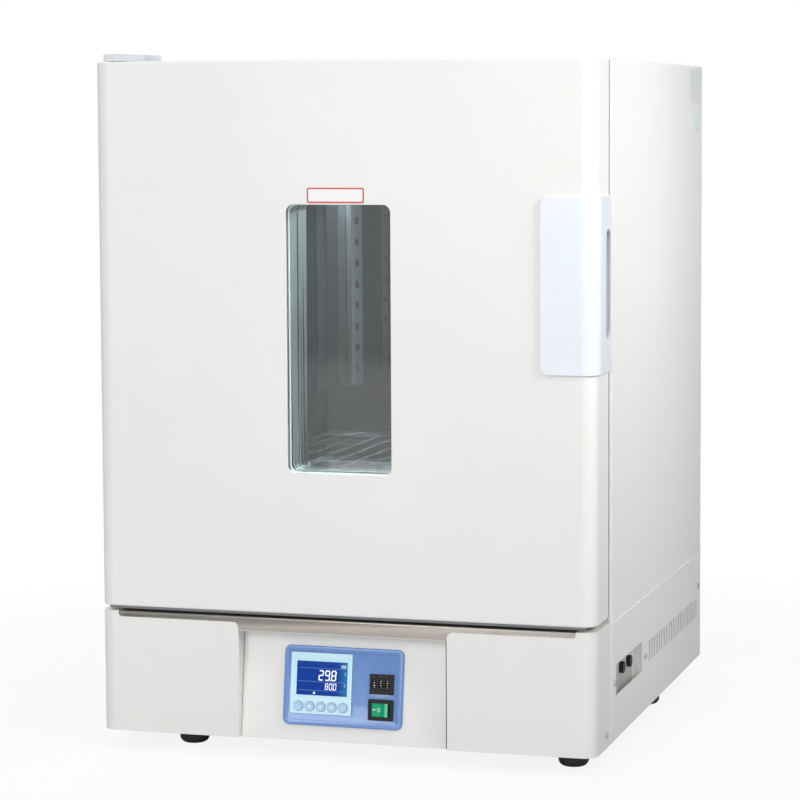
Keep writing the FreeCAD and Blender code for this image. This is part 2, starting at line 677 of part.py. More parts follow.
def cabinet_insulation():
    """Mineral wool slabs round the liner, and behind it round the motor and the exhaust."""
    front = CASE_FRONT_Y + THIN_SHEET
    low = CASE_Z + SHEET
    high = TOP_Z - SHEET
    side = CHAMBER_HALF + THIN_SHEET
    under = CHAMBER_Z - THIN_SHEET
    over = CHAMBER_TOP_Z + THIN_SHEET
    wide = INNER_HALF_WIDTH
    bends = (0, 0, 1.5, 1.5)
    slabs = [
        box(-wide, wide, front, LINER_REAR_Y, low, under),
        prism_y(rounded_face(-wide, wide, over, high, bends), front, LINER_REAR_Y),
        box(-wide, -side, front, LINER_REAR_Y, under, over),
        box(side, wide, front, LINER_REAR_Y, under, over),
    ]
    back = prism_y(rounded_face(-wide, wide, low, high, bends), LINER_REAR_Y, REAR_SHEET_Y)
    room = box(-MOTOR_ROOM, MOTOR_ROOM, LINER_REAR_Y - EPS, REAR_SHEET_Y + EPS,
               FAN_Z - MOTOR_ROOM, FAN_Z + MOTOR_ROOM)
    bores = [room]
    for x, z in heater_ends():
        bores.append(rod(HEATER_ROD_RADIUS + 2.0, (x, LINER_REAR_Y - EPS, z),
                         (x, LINER_REAR_Y + HEATER_TAIL + EPS, z)))
    sensor_z = CHAMBER_TOP_Z - SENSOR_DROP
    bores.append(rod(SENSOR_RADIUS + 2.0, (SENSOR_X, LINER_REAR_Y - EPS, sensor_z),
                     (SENSOR_X, LINER_REAR_Y + HEATER_TAIL + EPS, sensor_z)))
    for (x, y, z), _ in REAR_SCREWS:
        bores.append(rod(SCREW_SHANK_RADIUS + SCREW_CLEARANCE, (x, REAR_SHEET_Y + EPS, z),
                         (x, REAR_Y - SCREW_SHANK_LENGTH - EPS, z)))
    back = back.cut(bores)
    room_low = FAN_Z - MOTOR_ROOM
    room_high = FAN_Z + MOTOR_ROOM
    left = EXHAUST_X - EXHAUST_RADIUS
    right = EXHAUST_X + EXHAUST_RADIUS
    for x0, x1, z0, z1 in (
        (-wide, wide, low, room_low), (-wide, -MOTOR_ROOM, room_low, room_high),
        (MOTOR_ROOM, wide, room_low, room_high), (-wide, left, room_high, high),
        (right, wide, room_high, high), (left, right, room_high, EXHAUST_Z - EXHAUST_RADIUS),
        (left, right, EXHAUST_Z + EXHAUST_RADIUS, high),
    ):
        slabs.append(back.common(box(x0, x1, LINER_REAR_Y, REAR_SHEET_Y, z0, z1)))
    return Part.makeCompound(slabs)


def back_baffle():
    """Stainless sheet in front of the fan, with a round grille and slots low over the heaters."""
    low = CHAMBER_Z + FIT
    high = CHAMBER_TOP_Z - FIT
    half = CHAMBER_HALF - FIT
    corner = CHAMBER_CORNER_RADIUS
    sheet = prism_y(rounded_face(-half, half, low, high, (corner,) * 4),
                    BAFFLE_Y - THIN_SHEET, BAFFLE_Y)
    cuts = []
    for index in range(GRILLE_SLOTS):
        offset = (index - (GRILLE_SLOTS - 1) / 2) * GRILLE_SLOT_PITCH
        reach = (GRILLE_RADIUS ** 2 - offset ** 2) ** 0.5
        z = FAN_Z + offset
        end = GRILLE_SLOT_HEIGHT / 2 - 0.1
        cuts.append(rounded_face(-reach, reach, z - GRILLE_SLOT_HEIGHT / 2,
                                 z + GRILLE_SLOT_HEIGHT / 2, (end,) * 4))
    z = CHAMBER_Z + LOW_OUTLET_RISE
    for index in range(LOW_OUTLETS):
        x = (index - (LOW_OUTLETS - 1) / 2) * LOW_OUTLET_PITCH
        cuts.append(rounded_face(x - LOW_OUTLET_WIDTH / 2, x + LOW_OUTLET_WIDTH / 2,
                                 z - LOW_OUTLET_HEIGHT / 2, z + LOW_OUTLET_HEIGHT / 2,
                                 (2.0,) * 4))
    front = BAFFLE_Y - THIN_SHEET - EPS
    solids = [prism_y(face, front, BAFFLE_Y + EPS) for face in cuts]
    solids += [rod(HEATER_ROD_RADIUS + FIT, (x, front, z), (x, BAFFLE_Y + EPS, z))
               for x, z in heater_ends()]
    sensor_z = CHAMBER_TOP_Z - SENSOR_DROP
    solids.append(rod(SENSOR_RADIUS + FIT, (SENSOR_X, front, sensor_z),
                      (SENSOR_X, BAFFLE_Y + EPS, sensor_z)))
    return sheet.cut(solids)


def side_duct_right():
    """Pressed air duct on the chamber wall, with two columns of slots in its face."""
    wall = CHAMBER_HALF
    face = DUCT_FACE_X
    face_end = DUCT_FACE_END_Y
    bevel_end = DUCT_BEVEL_END_Y
    flange_end = DUCT_REAR_Y
    sheet = THIN_SHEET
    outer = polygon([
        (face, DUCT_FRONT_Y), (wall, DUCT_FRONT_Y), (wall, flange_end),
        (wall - sheet, flange_end), (wall - sheet, bevel_end), (face, face_end),
    ])
    inner = polygon([
        (face + sheet, DUCT_FRONT_Y + sheet), (wall + EPS, DUCT_FRONT_Y + sheet),
        (wall + EPS, bevel_end), (wall, bevel_end), (face + sheet, face_end),
    ])
    duct = prism_z(outer, DUCT_Z, DUCT_TOP_Z)
    duct = duct.cut(prism_z(inner, DUCT_Z + sheet, DUCT_TOP_Z - sheet))
    slots = []
    for y in DUCT_SLOT_YS:
        for row in range(DUCT_SLOT_ROWS):
            z = duct_slot_z(row)
            slots.append(box(face - EPS, face + sheet + EPS, y - DUCT_SLOT_WIDTH / 2,
                             y + DUCT_SLOT_WIDTH / 2, z - DUCT_SLOT_HEIGHT / 2,
                             z + DUCT_SLOT_HEIGHT / 2))
    return duct.cut(slots)


def duct_slot_z(row):
    """Height of the middle of one row of duct slots."""
    return DUCT_Z + DUCT_SLOT_MARGIN + row * DUCT_SLOT_PITCH


def hook_top():
    """Height of the ledges that carry the upper shelf."""
    z = duct_slot_z(DUCT_SLOT_ROWS - 1 - HOOK_ROWS_FROM_TOP)
    return z - DUCT_SLOT_HEIGHT / 2 + HOOK_THICKNESS


def shelf_hooks():
    """Four bent clips in the duct slots, which carry the upper shelf."""
    hooks = []
    top = hook_top()
    for side in (-1, 1):
        for y in DUCT_SLOT_YS:
            half = DUCT_SLOT_WIDTH / 2 - FIT
            x_tip = DUCT_FACE_X - HOOK_REACH
            ledge = box(x_tip, DUCT_FACE_X + THIN_SHEET, y - half, y + half,
                        top - HOOK_THICKNESS, top)
            leg = box(DUCT_FACE_X - HOOK_THICKNESS, DUCT_FACE_X, y - half, y + half,
                      top - HOOK_THICKNESS - HOOK_DROP, top)
            barb = box(DUCT_FACE_X + THIN_SHEET, DUCT_FACE_X + THIN_SHEET + HOOK_THICKNESS,
                       y - half, y + half, top - HOOK_THICKNESS, top + HOOK_BARB)
            hook = fused(ledge, leg, barb)
            hooks.append(hook if side > 0 else mirrored(hook))
    return Part.makeCompound(hooks)


def floor_plate():
    """Stainless cover over the heaters, folded down at its front edge."""
    half = CHAMBER_HALF - FIT
    rear = BAFFLE_Y - THIN_SHEET
    front = CASE_FRONT_Y + 5.0
    top = box(-half, half, front, rear, FLOOR_PLATE_Z - THIN_SHEET, FLOOR_PLATE_Z)
    lip = box(-half, half, front, front + THIN_SHEET, FLOOR_PLATE_Z - FLOOR_PLATE_LIP,
              FLOOR_PLATE_Z)
    legs = [box(min(side * half, side * (half - THIN_SHEET)),
                max(side * half, side * (half - THIN_SHEET)),
                front, rear, CHAMBER_Z + CHAMBER_CORNER_RADIUS, FLOOR_PLATE_Z)
            for side in (-1, 1)]
    return fused(top, lip, *legs)


def heater_ends():
    """Places where the ends of the heater tubes pass the rear wall, as (x, z)."""
    z = CHAMBER_Z + HEATER_RISE
    return [(centre + end * HEATER_BEND_RADIUS, z)
            for centre in (-HEATER_SPREAD, HEATER_SPREAD) for end in (-1, 1)]


def heater_elements():
    """Two hairpins of heater tube, held by their ends in the rear wall."""
    z = CHAMBER_Z + HEATER_RISE
    bend_y = CASE_FRONT_Y + HEATER_FRONT_MARGIN + HEATER_BEND_RADIUS
    end_y = LINER_REAR_Y + HEATER_TAIL
    hairpins = []
    for centre in (-HEATER_SPREAD, HEATER_SPREAD):
        left = Vector(centre - HEATER_BEND_RADIUS, end_y, z)
        left_bend = Vector(centre - HEATER_BEND_RADIUS, bend_y, z)
        nose = Vector(centre, bend_y - HEATER_BEND_RADIUS, z)
        right_bend = Vector(centre + HEATER_BEND_RADIUS, bend_y, z)
        right = Vector(centre + HEATER_BEND_RADIUS, end_y, z)
        path = Part.Wire([
            Part.LineSegment(left, left_bend).toShape(),
            Part.Arc(left_bend, nose, right_bend).toShape(),
            Part.LineSegment(right_bend, right).toShape(),
        ])
        section = Part.Wire([Part.Circle(left, Vector(0, 1, 0), HEATER_ROD_RADIUS).toShape()])
        hairpins.append(path.makePipeShell([section], True, True))
    return Part.makeCompound(hairpins)


def temperature_sensor():
    """Round probe through the rear wall, above the fan."""
    z = CHAMBER_TOP_Z - SENSOR_DROP
    front = LINER_BACK_Y - SENSOR_LENGTH
    return rod(SENSOR_RADIUS, (SENSOR_X, front, z), (SENSOR_X, LINER_REAR_Y + HEATER_TAIL, z))


def wire_shelf(z):
    """Wire grid shelf whose frame lies on a seat at height z."""
    half = DUCT_FACE_X - SHELF_SIDE_CLEARANCE - SHELF_FRAME_RADIUS
    rear = BAFFLE_Y - THIN_SHEET - SHELF_REAR_CLEARANCE
    front = CASE_FRONT_Y + SHELF_FRONT_SETBACK
    level = z + FIT + SHELF_FRAME_RADIUS
    bars = [rod(SHELF_FRAME_RADIUS, (side * half, front - SHELF_FRAME_RADIUS, level),
                (side * half, rear + SHELF_FRAME_RADIUS, level)) for side in (-1, 1)]
    for index in range(SHELF_CROSS_BARS + 2):
        y = front + (rear - front) * index / (SHELF_CROSS_BARS + 1)
        radius = SHELF_FRAME_RADIUS if index in (0, SHELF_CROSS_BARS + 1) else SHELF_WIRE_RADIUS
        drop = 0 if radius == SHELF_FRAME_RADIUS else SHELF_FRAME_RADIUS - SHELF_WIRE_RADIUS
        bars.append(rod(radius, (-half, y, level - drop), (half, y, level - drop)))
    for index in range(SHELF_WIRES):
        x = -half + 2 * half * (index + 1) / (SHELF_WIRES + 1)
        wire_level = level - SHELF_FRAME_RADIUS + 3 * SHELF_WIRE_RADIUS
        bars.append(rod(SHELF_WIRE_RADIUS, (x, front, wire_level), (x, rear, wire_level)))
    return fused(*bars)


def shelf_lower():
    """Wire shelf lying on the floor plate."""
    return wire_shelf(FLOOR_PLATE_Z)


def shelf_upper():
    """Wire shelf hung in the duct slots."""
    return wire_shelf(hook_top())


def polar(radius, angle):
    """Point at a radius and an angle in degrees, in the XY plane."""
    return Vector(radius * cos(radians(angle)), radius * sin(radians(angle)), 0)


def fan_wheel():
    """Centrifugal wheel with curved blades between a back plate and a front ring, on its shaft."""
    front = BAFFLE_Y + FAN_FRONT_CLEARANCE
    ring_rear = front + FAN_PLATE
    plate_front = ring_rear + FAN_BLADE_DEPTH
    plate_rear = plate_front + FAN_PLATE
    centre = Vector(0, 0, FAN_Z)
    inner = FAN_RADIUS - FAN_BLADE_LENGTH
    ring = rod(FAN_RADIUS, (0, front, FAN_Z), (0, ring_rear, FAN_Z))
    ring = ring.cut(rod(inner, (0, front - EPS, FAN_Z), (0, ring_rear + EPS, FAN_Z)))
    plate = rod(FAN_RADIUS, (0, plate_front, FAN_Z), (0, plate_rear, FAN_Z))
    hub = rod(FAN_HUB_RADIUS, (0, plate_rear - FAN_HUB_LENGTH, FAN_Z), (0, plate_rear, FAN_Z))
    shaft = rod(SHAFT_RADIUS, (0, plate_rear - FAN_HUB_LENGTH, FAN_Z),
                (0, plate_rear - FAN_HUB_LENGTH + SHAFT_LENGTH, FAN_Z))
    blades = []
    outer = FAN_RADIUS - 1.0
    middle = (inner + outer) / 2
    for index in range(FAN_BLADES):
        angle = index * 360 / FAN_BLADES
        lean = FAN_BLADE_SWEEP
        thick = FAN_BLADE_ANGLE
        points = [
            polar(inner, angle), polar(middle, angle + lean * 0.3), polar(outer, angle + lean),
            polar(outer, angle + lean + thick), polar(middle, angle + lean * 0.3 + thick),
            polar(inner, angle + thick),
        ]
        outline = Part.Wire([
            Part.Arc(points[0], points[1], points[2]).toShape(),
            Part.LineSegment(points[2], points[3]).toShape(),
            Part.Arc(points[3], points[4], points[5]).toShape(),
            Part.LineSegment(points[5], points[0]).toShape(),
        ])
        blade = prism_y(Part.Face(outline), ring_rear, plate_front)
        blade.translate(centre)
        blades.append(blade)
    return fused(plate, hub, shaft, ring, *blades)


def fan_motor():
    """Motor behind the liner: can, boss, four posts and a square mounting plate."""
    plate_rear = LINER_REAR_Y + MOTOR_PLATE_THICKNESS
    can_front = LINER_REAR_Y + MOTOR_STANDOFF
    half = MOTOR_PLATE_SIZE / 2
    plate = prism_y(rounded_face(-half, half, FAN_Z - half, FAN_Z + half, (6.0,) * 4),
                    LINER_REAR_Y, plate_rear)
    boss = rod(MOTOR_BOSS_RADIUS, (0, plate_rear, FAN_Z), (0, can_front, FAN_Z))
    can = rod(MOTOR_RADIUS, (0, can_front, FAN_Z), (0, can_front + MOTOR_LENGTH, FAN_Z))
    rear_y = can_front + MOTOR_LENGTH
    rim = edges_where(can, lambda b: b.YMin > rear_y - 0.1 and b.ZLength > 1)
    can = can.makeFillet(5.0, rim)
    posts = [rod(MOTOR_POST_RADIUS, (x, plate_rear, FAN_Z + z), (x, can_front, FAN_Z + z))
             for x in (-MOTOR_POST_SPACING, MOTOR_POST_SPACING)
             for z in (-MOTOR_POST_SPACING, MOTOR_POST_SPACING)]
    motor = fused(plate, boss, can, *posts)
    shaft_end = (BAFFLE_Y + FAN_FRONT_CLEARANCE + 2 * FAN_PLATE + FAN_BLADE_DEPTH
                 - FAN_HUB_LENGTH + SHAFT_LENGTH)
    bore = rod(SHAFT_RADIUS + FIT, (0, LINER_REAR_Y - EPS, FAN_Z), (0, shaft_end + FIT, FAN_Z))
    return motor.cut(bore)


def sector(radius, y0, y1, start_angle, angle):
    """Slice of a disc round the axis of the exhaust."""
    slice_solid = Part.makeCylinder(radius, y1 - y0, Vector(0, 0, 0), Vector(0, 0, 1), angle)
    slice_solid.rotate(Vector(0, 0, 0), Vector(0, 0, 1), start_angle)
    slice_solid.rotate(Vector(0, 0, 0), Vector(1, 0, 0), 90)
    slice_solid.translate(Vector(EXHAUST_X, y1, EXHAUST_Z))
    return slice_solid


def exhaust_axis_rod(radius, y0, y1):
    """Round bar on the axis of the exhaust."""
    return rod(radius, (EXHAUST_X, y0, EXHAUST_Z), (EXHAUST_X, y1, EXHAUST_Z))


def exhaust_windows(y0, y1, start_angle):
    """Two slices with the hub left out, which the air leaves through."""
    radius = EXHAUST_RADIUS - 3.0
    slices = [sector(radius, y0, y1, start_angle + turn, EXHAUST_SECTOR_ANGLE) for turn in (0, 180)]
    hub = exhaust_axis_rod(EXHAUST_HUB_RADIUS, y0 - EPS, y1 + EPS)
    return [piece.cut(hub) for piece in slices]


def exhaust_port():
    """Tube through the insulation, with a flange on the rear cover and a pin for the damper."""
    tube = exhaust_axis_rod(EXHAUST_RADIUS, LINER_REAR_Y, REAR_Y)
    tube = tube.cut(exhaust_axis_rod(EXHAUST_RADIUS - 2.0, LINER_REAR_Y - EPS, REAR_Y + EPS))
    flange = exhaust_axis_rod(EXHAUST_FLANGE_RADIUS, REAR_Y, REAR_Y + EXHAUST_PLATE)
    flange = flange.cut(exhaust_windows(REAR_Y - EPS, REAR_Y + EXHAUST_PLATE + EPS, -40.0))
    pin = exhaust_axis_rod(DAMPER_PIN_RADIUS, REAR_Y + EXHAUST_PLATE,
                           REAR_Y + EXHAUST_PLATE + DAMPER_PIN_LENGTH)
    return fused(tube, flange, pin)


def exhaust_damper():
    """Turning disc with two windows and a grip, closed at rest."""
    front = REAR_Y + EXHAUST_PLATE + FIT
    back = front + DAMPER_DISC
    disc = exhaust_axis_rod(EXHAUST_RADIUS, front, back)
    disc = disc.cut(exhaust_windows(front - EPS, back + EPS, 50.0))
    knob = exhaust_axis_rod(DAMPER_KNOB_RADIUS, back, back + 2.0)
    knob = knob.common(exhaust_axis_rod(EXHAUST_HUB_RADIUS, back, back + 2.0))
    grip = box(EXHAUST_X - 3.6, EXHAUST_X + 3.6, back, back + DAMPER_KNOB_HEIGHT,
               EXHAUST_Z - DAMPER_KNOB_RADIUS * 2, EXHAUST_Z + DAMPER_KNOB_RADIUS * 2)
    grip = grip.makeFillet(1.0, edges_where(grip, lambda b: b.YMin > back + 1))
    bore = exhaust_axis_rod(DAMPER_PIN_RADIUS + FIT, front - EPS,
                            REAR_Y + EXHAUST_PLATE + DAMPER_PIN_LENGTH + FIT)
    return fused(disc, knob, grip).cut(bore)


def base_fascia():
    """Front of the base, wrapped round both front corners, with the opening for the panel."""
    wall = wrapped_prism(0, BASE_Z, DECK_Z, CASE_FRONT_Y)
    wall = wall.cut(wrapped_prism(SHEET, BASE_Z - EPS, DECK_Z + EPS, CASE_FRONT_Y + EPS))
    low_flange = wrapped_prism(0, BASE_Z, BASE_Z + SHEET, CASE_FRONT_Y)
    low_flange = low_flange.cut(box(BASE_FLANGE - HALF_WIDTH, HALF_WIDTH - BASE_FLANGE,
                                    FRONT_Y + FASCIA_FLANGE, CASE_FRONT_Y + EPS,
                                    BASE_Z - EPS, BASE_Z + SHEET + EPS))
    deck_edge = HALF_WIDTH - NOTCH_MARGIN
    top_flange = wrapped_prism(0, DECK_Z - SHEET, DECK_Z, CASE_FRONT_Y)
    top_flange = top_flange.cut(box(-deck_edge, deck_edge, FRONT_Y - EPS, CASE_FRONT_Y + EPS,
                                    DECK_Z - SHEET - EPS, DECK_Z + EPS))
    notch = rounded_face(-deck_edge, deck_edge, DECK_Z - NOTCH_DROP, DECK_Z + EPS,
                         (NOTCH_RADIUS, NOTCH_RADIUS, 0, 0))
    opening = box(OPENING_LEFT, OPENING_RIGHT, FRONT_Y - EPS, PANEL_FOOT_Y,
                  BASE_Z - EPS, DECK_Z + EPS)
    front = fused(wall, low_flange).cut(opening)
    front = front.cut(prism_y(notch, FRONT_Y - EPS, FRONT_Y + FRONT_CORNER_RADIUS))
    jambs = []
    jamb_rear = PANEL_FOOT_Y + (PANEL_TOP_Z - BASE_Z) * tan(radians(PANEL_TILT)) + FASCIA_FLANGE
    for edge, side in ((OPENING_LEFT, -1), (OPENING_RIGHT, 1)):
        x0, x1 = sorted((edge, edge + side * SHEET))
        jamb = box(x0, x1, FRONT_Y + SHEET, jamb_rear, BASE_Z, PANEL_TOP_Z)
        jambs.append(jamb.cut(box(x0 - EPS, x1 + EPS, FRONT_Y + FASCIA_FLANGE, jamb_rear + EPS,
                                  BASE_Z - EPS, BASE_Z + 2 * SHEET)))
    shape = fused(front, top_flange, *jambs)
    corner_z = DECK_Z - NOTCH_DROP
    corners = edges_where(
        shape,
        lambda b: abs(b.ZMin - corner_z) < 0.01 and b.ZLength < 0.01 and b.XLength < 0.01
        and min(abs(b.XMin - OPENING_LEFT), abs(b.XMin - OPENING_RIGHT)) < 0.01,
    )
    shape = shape.makeFillet(OPENING_CORNER_RADIUS, corners)
    return shape.cut([screw_hole(*place) for place in FASCIA_SCREWS])


def base_side(with_recess):
    """Right side sheet of the base with its folded edges and ventilation slots."""
    front = CASE_FRONT_Y + SEAM_GAP
    sheet = box(INNER_HALF_WIDTH, HALF_WIDTH, front, REAR_Y, BASE_Z, CASE_Z)
    low = box(HALF_WIDTH - BASE_FLANGE, HALF_WIDTH, front, REAR_SHEET_Y, BASE_Z, BASE_Z + SHEET)
    high = box(HALF_WIDTH - BASE_FLANGE, HALF_WIDTH, front, REAR_SHEET_Y, CASE_Z - SHEET, CASE_Z)
    side = fused(sheet, low, high)
    cuts = []
    for index in range(VENT_SLOTS):
        y = VENT_FIRST_Y + index * VENT_PITCH
        slot = rounded_face(y, y + VENT_WIDTH, VENT_Z, VENT_Z + VENT_HEIGHT, (0, 0, 0, 0))
        cuts.append(prism_x(slot, INNER_HALF_WIDTH - EPS, HALF_WIDTH + EPS))
    if with_recess:
        cuts.append(box(INNER_HALF_WIDTH - EPS, HALF_WIDTH + EPS, RECESS_FRONT_Y,
                        RECESS_FRONT_Y + RECESS_LENGTH, RECESS_Z, RECESS_Z + RECESS_HEIGHT))
    cuts += [screw_hole(*place) for place in SIDE_SCREWS]
    return side.cut(cuts)


def base_side_right():
    """Side of the base with the recess for the fuses."""
    return base_side(True)


def base_side_left():
    """Plain side of the base."""
    return mirrored(base_side(False))


def side_recess_pan():
    """Shallow pan behind the opening in the right side."""
    inner = PAN_X
    y0 = RECESS_FRONT_Y - PAN_FRONT_MARGIN
    y1 = RECESS_FRONT_Y + RECESS_LENGTH
    z0 = RECESS_Z - PAN_MARGIN
    z1 = RECESS_Z + RECESS_HEIGHT + PAN_MARGIN
    sheet = THIN_SHEET
    pan = box(inner - sheet, INNER_HALF_WIDTH, y0 - sheet, y1 + sheet, z0 - sheet, z1 + sheet)
    pan = pan.cut(box(inner, INNER_HALF_WIDTH + EPS, y0, y1, z0, z1))
    holes = [rod(FUSE_BODY_RADIUS + FIT, (inner - sheet - EPS, y, fuse_z()),
                 (inner + EPS, y, fuse_z())) for y in fuse_places()]
    holes.append(screw_hole(*PAN_SCREW))
    return pan.cut(holes)


def fuse_places():
    """Y of each fuse holder."""
    return [RECESS_FRONT_Y + FUSE_FIRST_INSET + index * FUSE_PITCH for index in range(2)]


def fuse_z():
    """Height of the fuse holders."""
    return RECESS_Z + RECESS_HEIGHT / 2


def fuse_holders():
    """Two panel fuse holders: a round cap outside the pan and the body behind it."""
    inner = PAN_X
    holders = []
    for y in fuse_places():
        z = fuse_z()
        cap = rod(FUSE_CAP_RADIUS, (inner, y, z), (inner + FUSE_CAP_HEIGHT, y, z))
        crown = edges_where(cap, lambda b: b.XMin > inner + FUSE_CAP_HEIGHT - 0.1 and b.YLength > 1)
        cap = cap.makeFillet(1.0, crown)
        slot = box(inner + FUSE_CAP_HEIGHT - 1.0, inner + FUSE_CAP_HEIGHT + EPS, y - 4.5, y + 4.5,
                   z - 0.7, z + 0.7)
        body = rod(FUSE_BODY_RADIUS, (inner - FUSE_BODY_LENGTH, y, z), (inner, y, z))
        holders.append(fused(cap.cut(slot), body))
    return Part.makeCompound(holders)


def base_tray():
    """Bottom sheet of the base, with a folded lip along each side."""
    half = INNER_HALF_WIDTH
    z0 = BASE_Z + SHEET
    front = FRONT_Y + 2 * SHEET
    flange_rear = FRONT_Y + FASCIA_FLANGE
    bottom = box(-half, half, CASE_FRONT_Y + SEAM_GAP, REAR_SHEET_Y, z0, z0 + SHEET)
    nose_half = half - FRONT_CORNER_RADIUS
    nose = box(-nose_half, nose_half, front, CASE_FRONT_Y + 2 * EPS, z0, z0 + SHEET)
    nose = nose.cut(box(OPENING_LEFT - SHEET, OPENING_RIGHT + SHEET, front - EPS, flange_rear,
                        z0 - EPS, z0 + SHEET + EPS))
    lips = [box(min(side * half, side * (half - SHEET)), max(side * half, side * (half - SHEET)),
                CASE_FRONT_Y + SEAM_GAP, REAR_SHEET_Y, z0, z0 + TRAY_LIP) for side in (-1, 1)]
    return fused(bottom, nose, *lips)


def rubber_feet():
    """Four moulded rubber feet with rounded soles."""
    feet = []
    left = FOOT_LEFT_INSET - HALF_WIDTH
    front = FRONT_Y + FOOT_FRONT_SETBACK
    rear = FRONT_Y + FOOT_REAR_SETBACK
    places = ((left, front), (HALF_WIDTH - FOOT_RIGHT_FRONT_INSET, front),
              (left, rear), (HALF_WIDTH - FOOT_RIGHT_REAR_INSET, rear))
    sole = Vector(FOOT_SOLE_RADIUS, 0, 0)
    bulge = Vector(FOOT_RADIUS, 0, FOOT_BULGE_HEIGHT)
    spread = FOOT_RADIUS - FOOT_SOLE_RADIUS
    middle = Vector(FOOT_SOLE_RADIUS + spread * sin(radians(50)), 0,
                    FOOT_BULGE_HEIGHT * (1 - cos(radians(50))))
    top = BASE_Z + SHEET
    corners = [bulge, Vector(FOOT_RADIUS, 0, BASE_Z), Vector(FOOT_BOSS_RADIUS, 0, BASE_Z),
               Vector(FOOT_BOSS_RADIUS, 0, top), Vector(0, 0, top), Vector(0, 0, 0), sole]
    edges = [Part.Arc(sole, middle, bulge).toShape()]
    edges += [Part.LineSegment(a, b).toShape() for a, b in zip(corners, corners[1:])]
    profile = Part.Face(Part.Wire(edges))
    foot = profile.revolve(Vector(0, 0, 0), Vector(0, 0, 1), 360)
    for x, y in places:
        placed = foot.copy()
        placed.translate(Vector(x, y, 0))
        feet.append(placed)
    return Part.makeCompound(feet)


def deck_plate():
    """Stainless deck under the door, folded down in front into the visible trim strip."""
    half = HALF_WIDTH - NOTCH_MARGIN - FIT
    front = FRONT_Y + SHEET
    deck = box(-half, half, front, CASE_FRONT_Y, DECK_Z - SHEET, DECK_Z)
    lip = box(-half, half, front, front + SHEET, DECK_Z - DECK_LIP, DECK_Z)
    plate = fused(deck, lip)
    fold = edges_where(plate, lambda b: b.XLength > 100 and b.YMax < front + 0.1 and b.ZMin > DECK_Z - 0.1)
    return plate.makeFillet(SHEET * 0.9, fold)


def control_panel():
    """Slanted sheet with the cut-out for the bezel, folded forward at its top."""
    slope = (PANEL_TOP_Z - BASE_Z) / cos(radians(PANEL_TILT))
    face = box(PANEL_LEFT, PANEL_RIGHT, 0, PANEL_SHEET, 0, slope - PANEL_SHEET * 0.2)
    inset = BEZEL_SPIGOT_INSET - PANEL_EDGE_GAP
    hole = box(BEZEL_LEFT + inset, BEZEL_LEFT + BEZEL_WIDTH - inset, -EPS, PANEL_SHEET + EPS,
               BEZEL_BOTTOM + inset, BEZEL_BOTTOM + BEZEL_HEIGHT - inset)
    face = on_panel(face.cut(hole))
    foot_z = BASE_Z + SHEET
    face = face.common(box(PANEL_LEFT, PANEL_RIGHT, FRONT_Y, CASE_FRONT_Y, foot_z, PANEL_TOP_Z))
    top_y = PANEL_FOOT_Y + (PANEL_TOP_Z - BASE_Z) * tan(radians(PANEL_TILT))
    soffit = box(PANEL_LEFT, PANEL_RIGHT, FRONT_Y + SHEET, top_y + PANEL_SHEET * 0.9,
                 PANEL_TOP_Z - PANEL_SHEET, PANEL_TOP_Z)
    foot = box(PANEL_LEFT, PANEL_RIGHT, PANEL_FOOT_Y + PANEL_SHEET * 0.6,
               FRONT_Y + FASCIA_FLANGE, foot_z, foot_z + SHEET)
    return fused(face, soffit, foot)


def panel_bezel():
    """Moulded bezel with a raised rim, openings for the instruments and a locating spigot."""
    x0 = BEZEL_LEFT
    x1 = BEZEL_LEFT + BEZEL_WIDTH
    s0 = BEZEL_BOTTOM
    s1 = BEZEL_BOTTOM + BEZEL_HEIGHT
    body = prism_y(rounded_face(x0, x1, s0, s1, (BEZEL_RADIUS,) * 4), -BEZEL_THICKNESS, 0)
    front_edges = edges_where(body, lambda b: b.YMax < -BEZEL_THICKNESS + 0.01)
    body = body.makeFillet(BEZEL_EDGE_RADIUS, front_edges)
    rim = BEZEL_RIM
    field = rounded_face(x0 + rim, x1 - rim, s0 + rim, s1 - rim, (BEZEL_FIELD_RADIUS,) * 4)
    body = body.cut(prism_y(field, -BEZEL_THICKNESS - EPS, FIELD_DEPTH))
    inset = BEZEL_SPIGOT_INSET
    spigot = box(x0 + inset, x1 - inset, 0, PANEL_SHEET, s0 + inset, s1 - inset)
    body = fused(body, spigot)
    front = -BEZEL_THICKNESS - EPS
    back = PANEL_SHEET + EPS
    controller = box(CONTROLLER_LEFT, CONTROLLER_LEFT + CONTROLLER_WIDTH, front, back,
                     CONTROLLER_BOTTOM, CONTROLLER_BOTTOM + CONTROLLER_HEIGHT)
    pushwheel = box(PUSHWHEEL_LEFT + PUSHWHEEL_FLANGE - FIT,
                    PUSHWHEEL_LEFT + PUSHWHEEL_WIDTH - PUSHWHEEL_FLANGE + FIT, front, back,
                    WHEEL_S - PUSHWHEEL_HEIGHT / 2 + PUSHWHEEL_FLANGE - FIT,
                    WHEEL_S + PUSHWHEEL_HEIGHT / 2 - PUSHWHEEL_FLANGE + FIT)
    rocker = box(ROCKER_LEFT + ROCKER_FLANGE - FIT,
                 ROCKER_LEFT + ROCKER_WIDTH - ROCKER_FLANGE + FIT, front, back,
                 ROCKER_BOTTOM + ROCKER_FLANGE - FIT,
                 ROCKER_BOTTOM + ROCKER_HEIGHT - ROCKER_FLANGE + FIT)
    return on_panel(body.cut([controller, pushwheel, rocker]))


def key_places():
    """X of each key on the panel."""
    return [KEY_FIRST_X + index * KEY_PITCH for index in range(KEY_COUNT)]


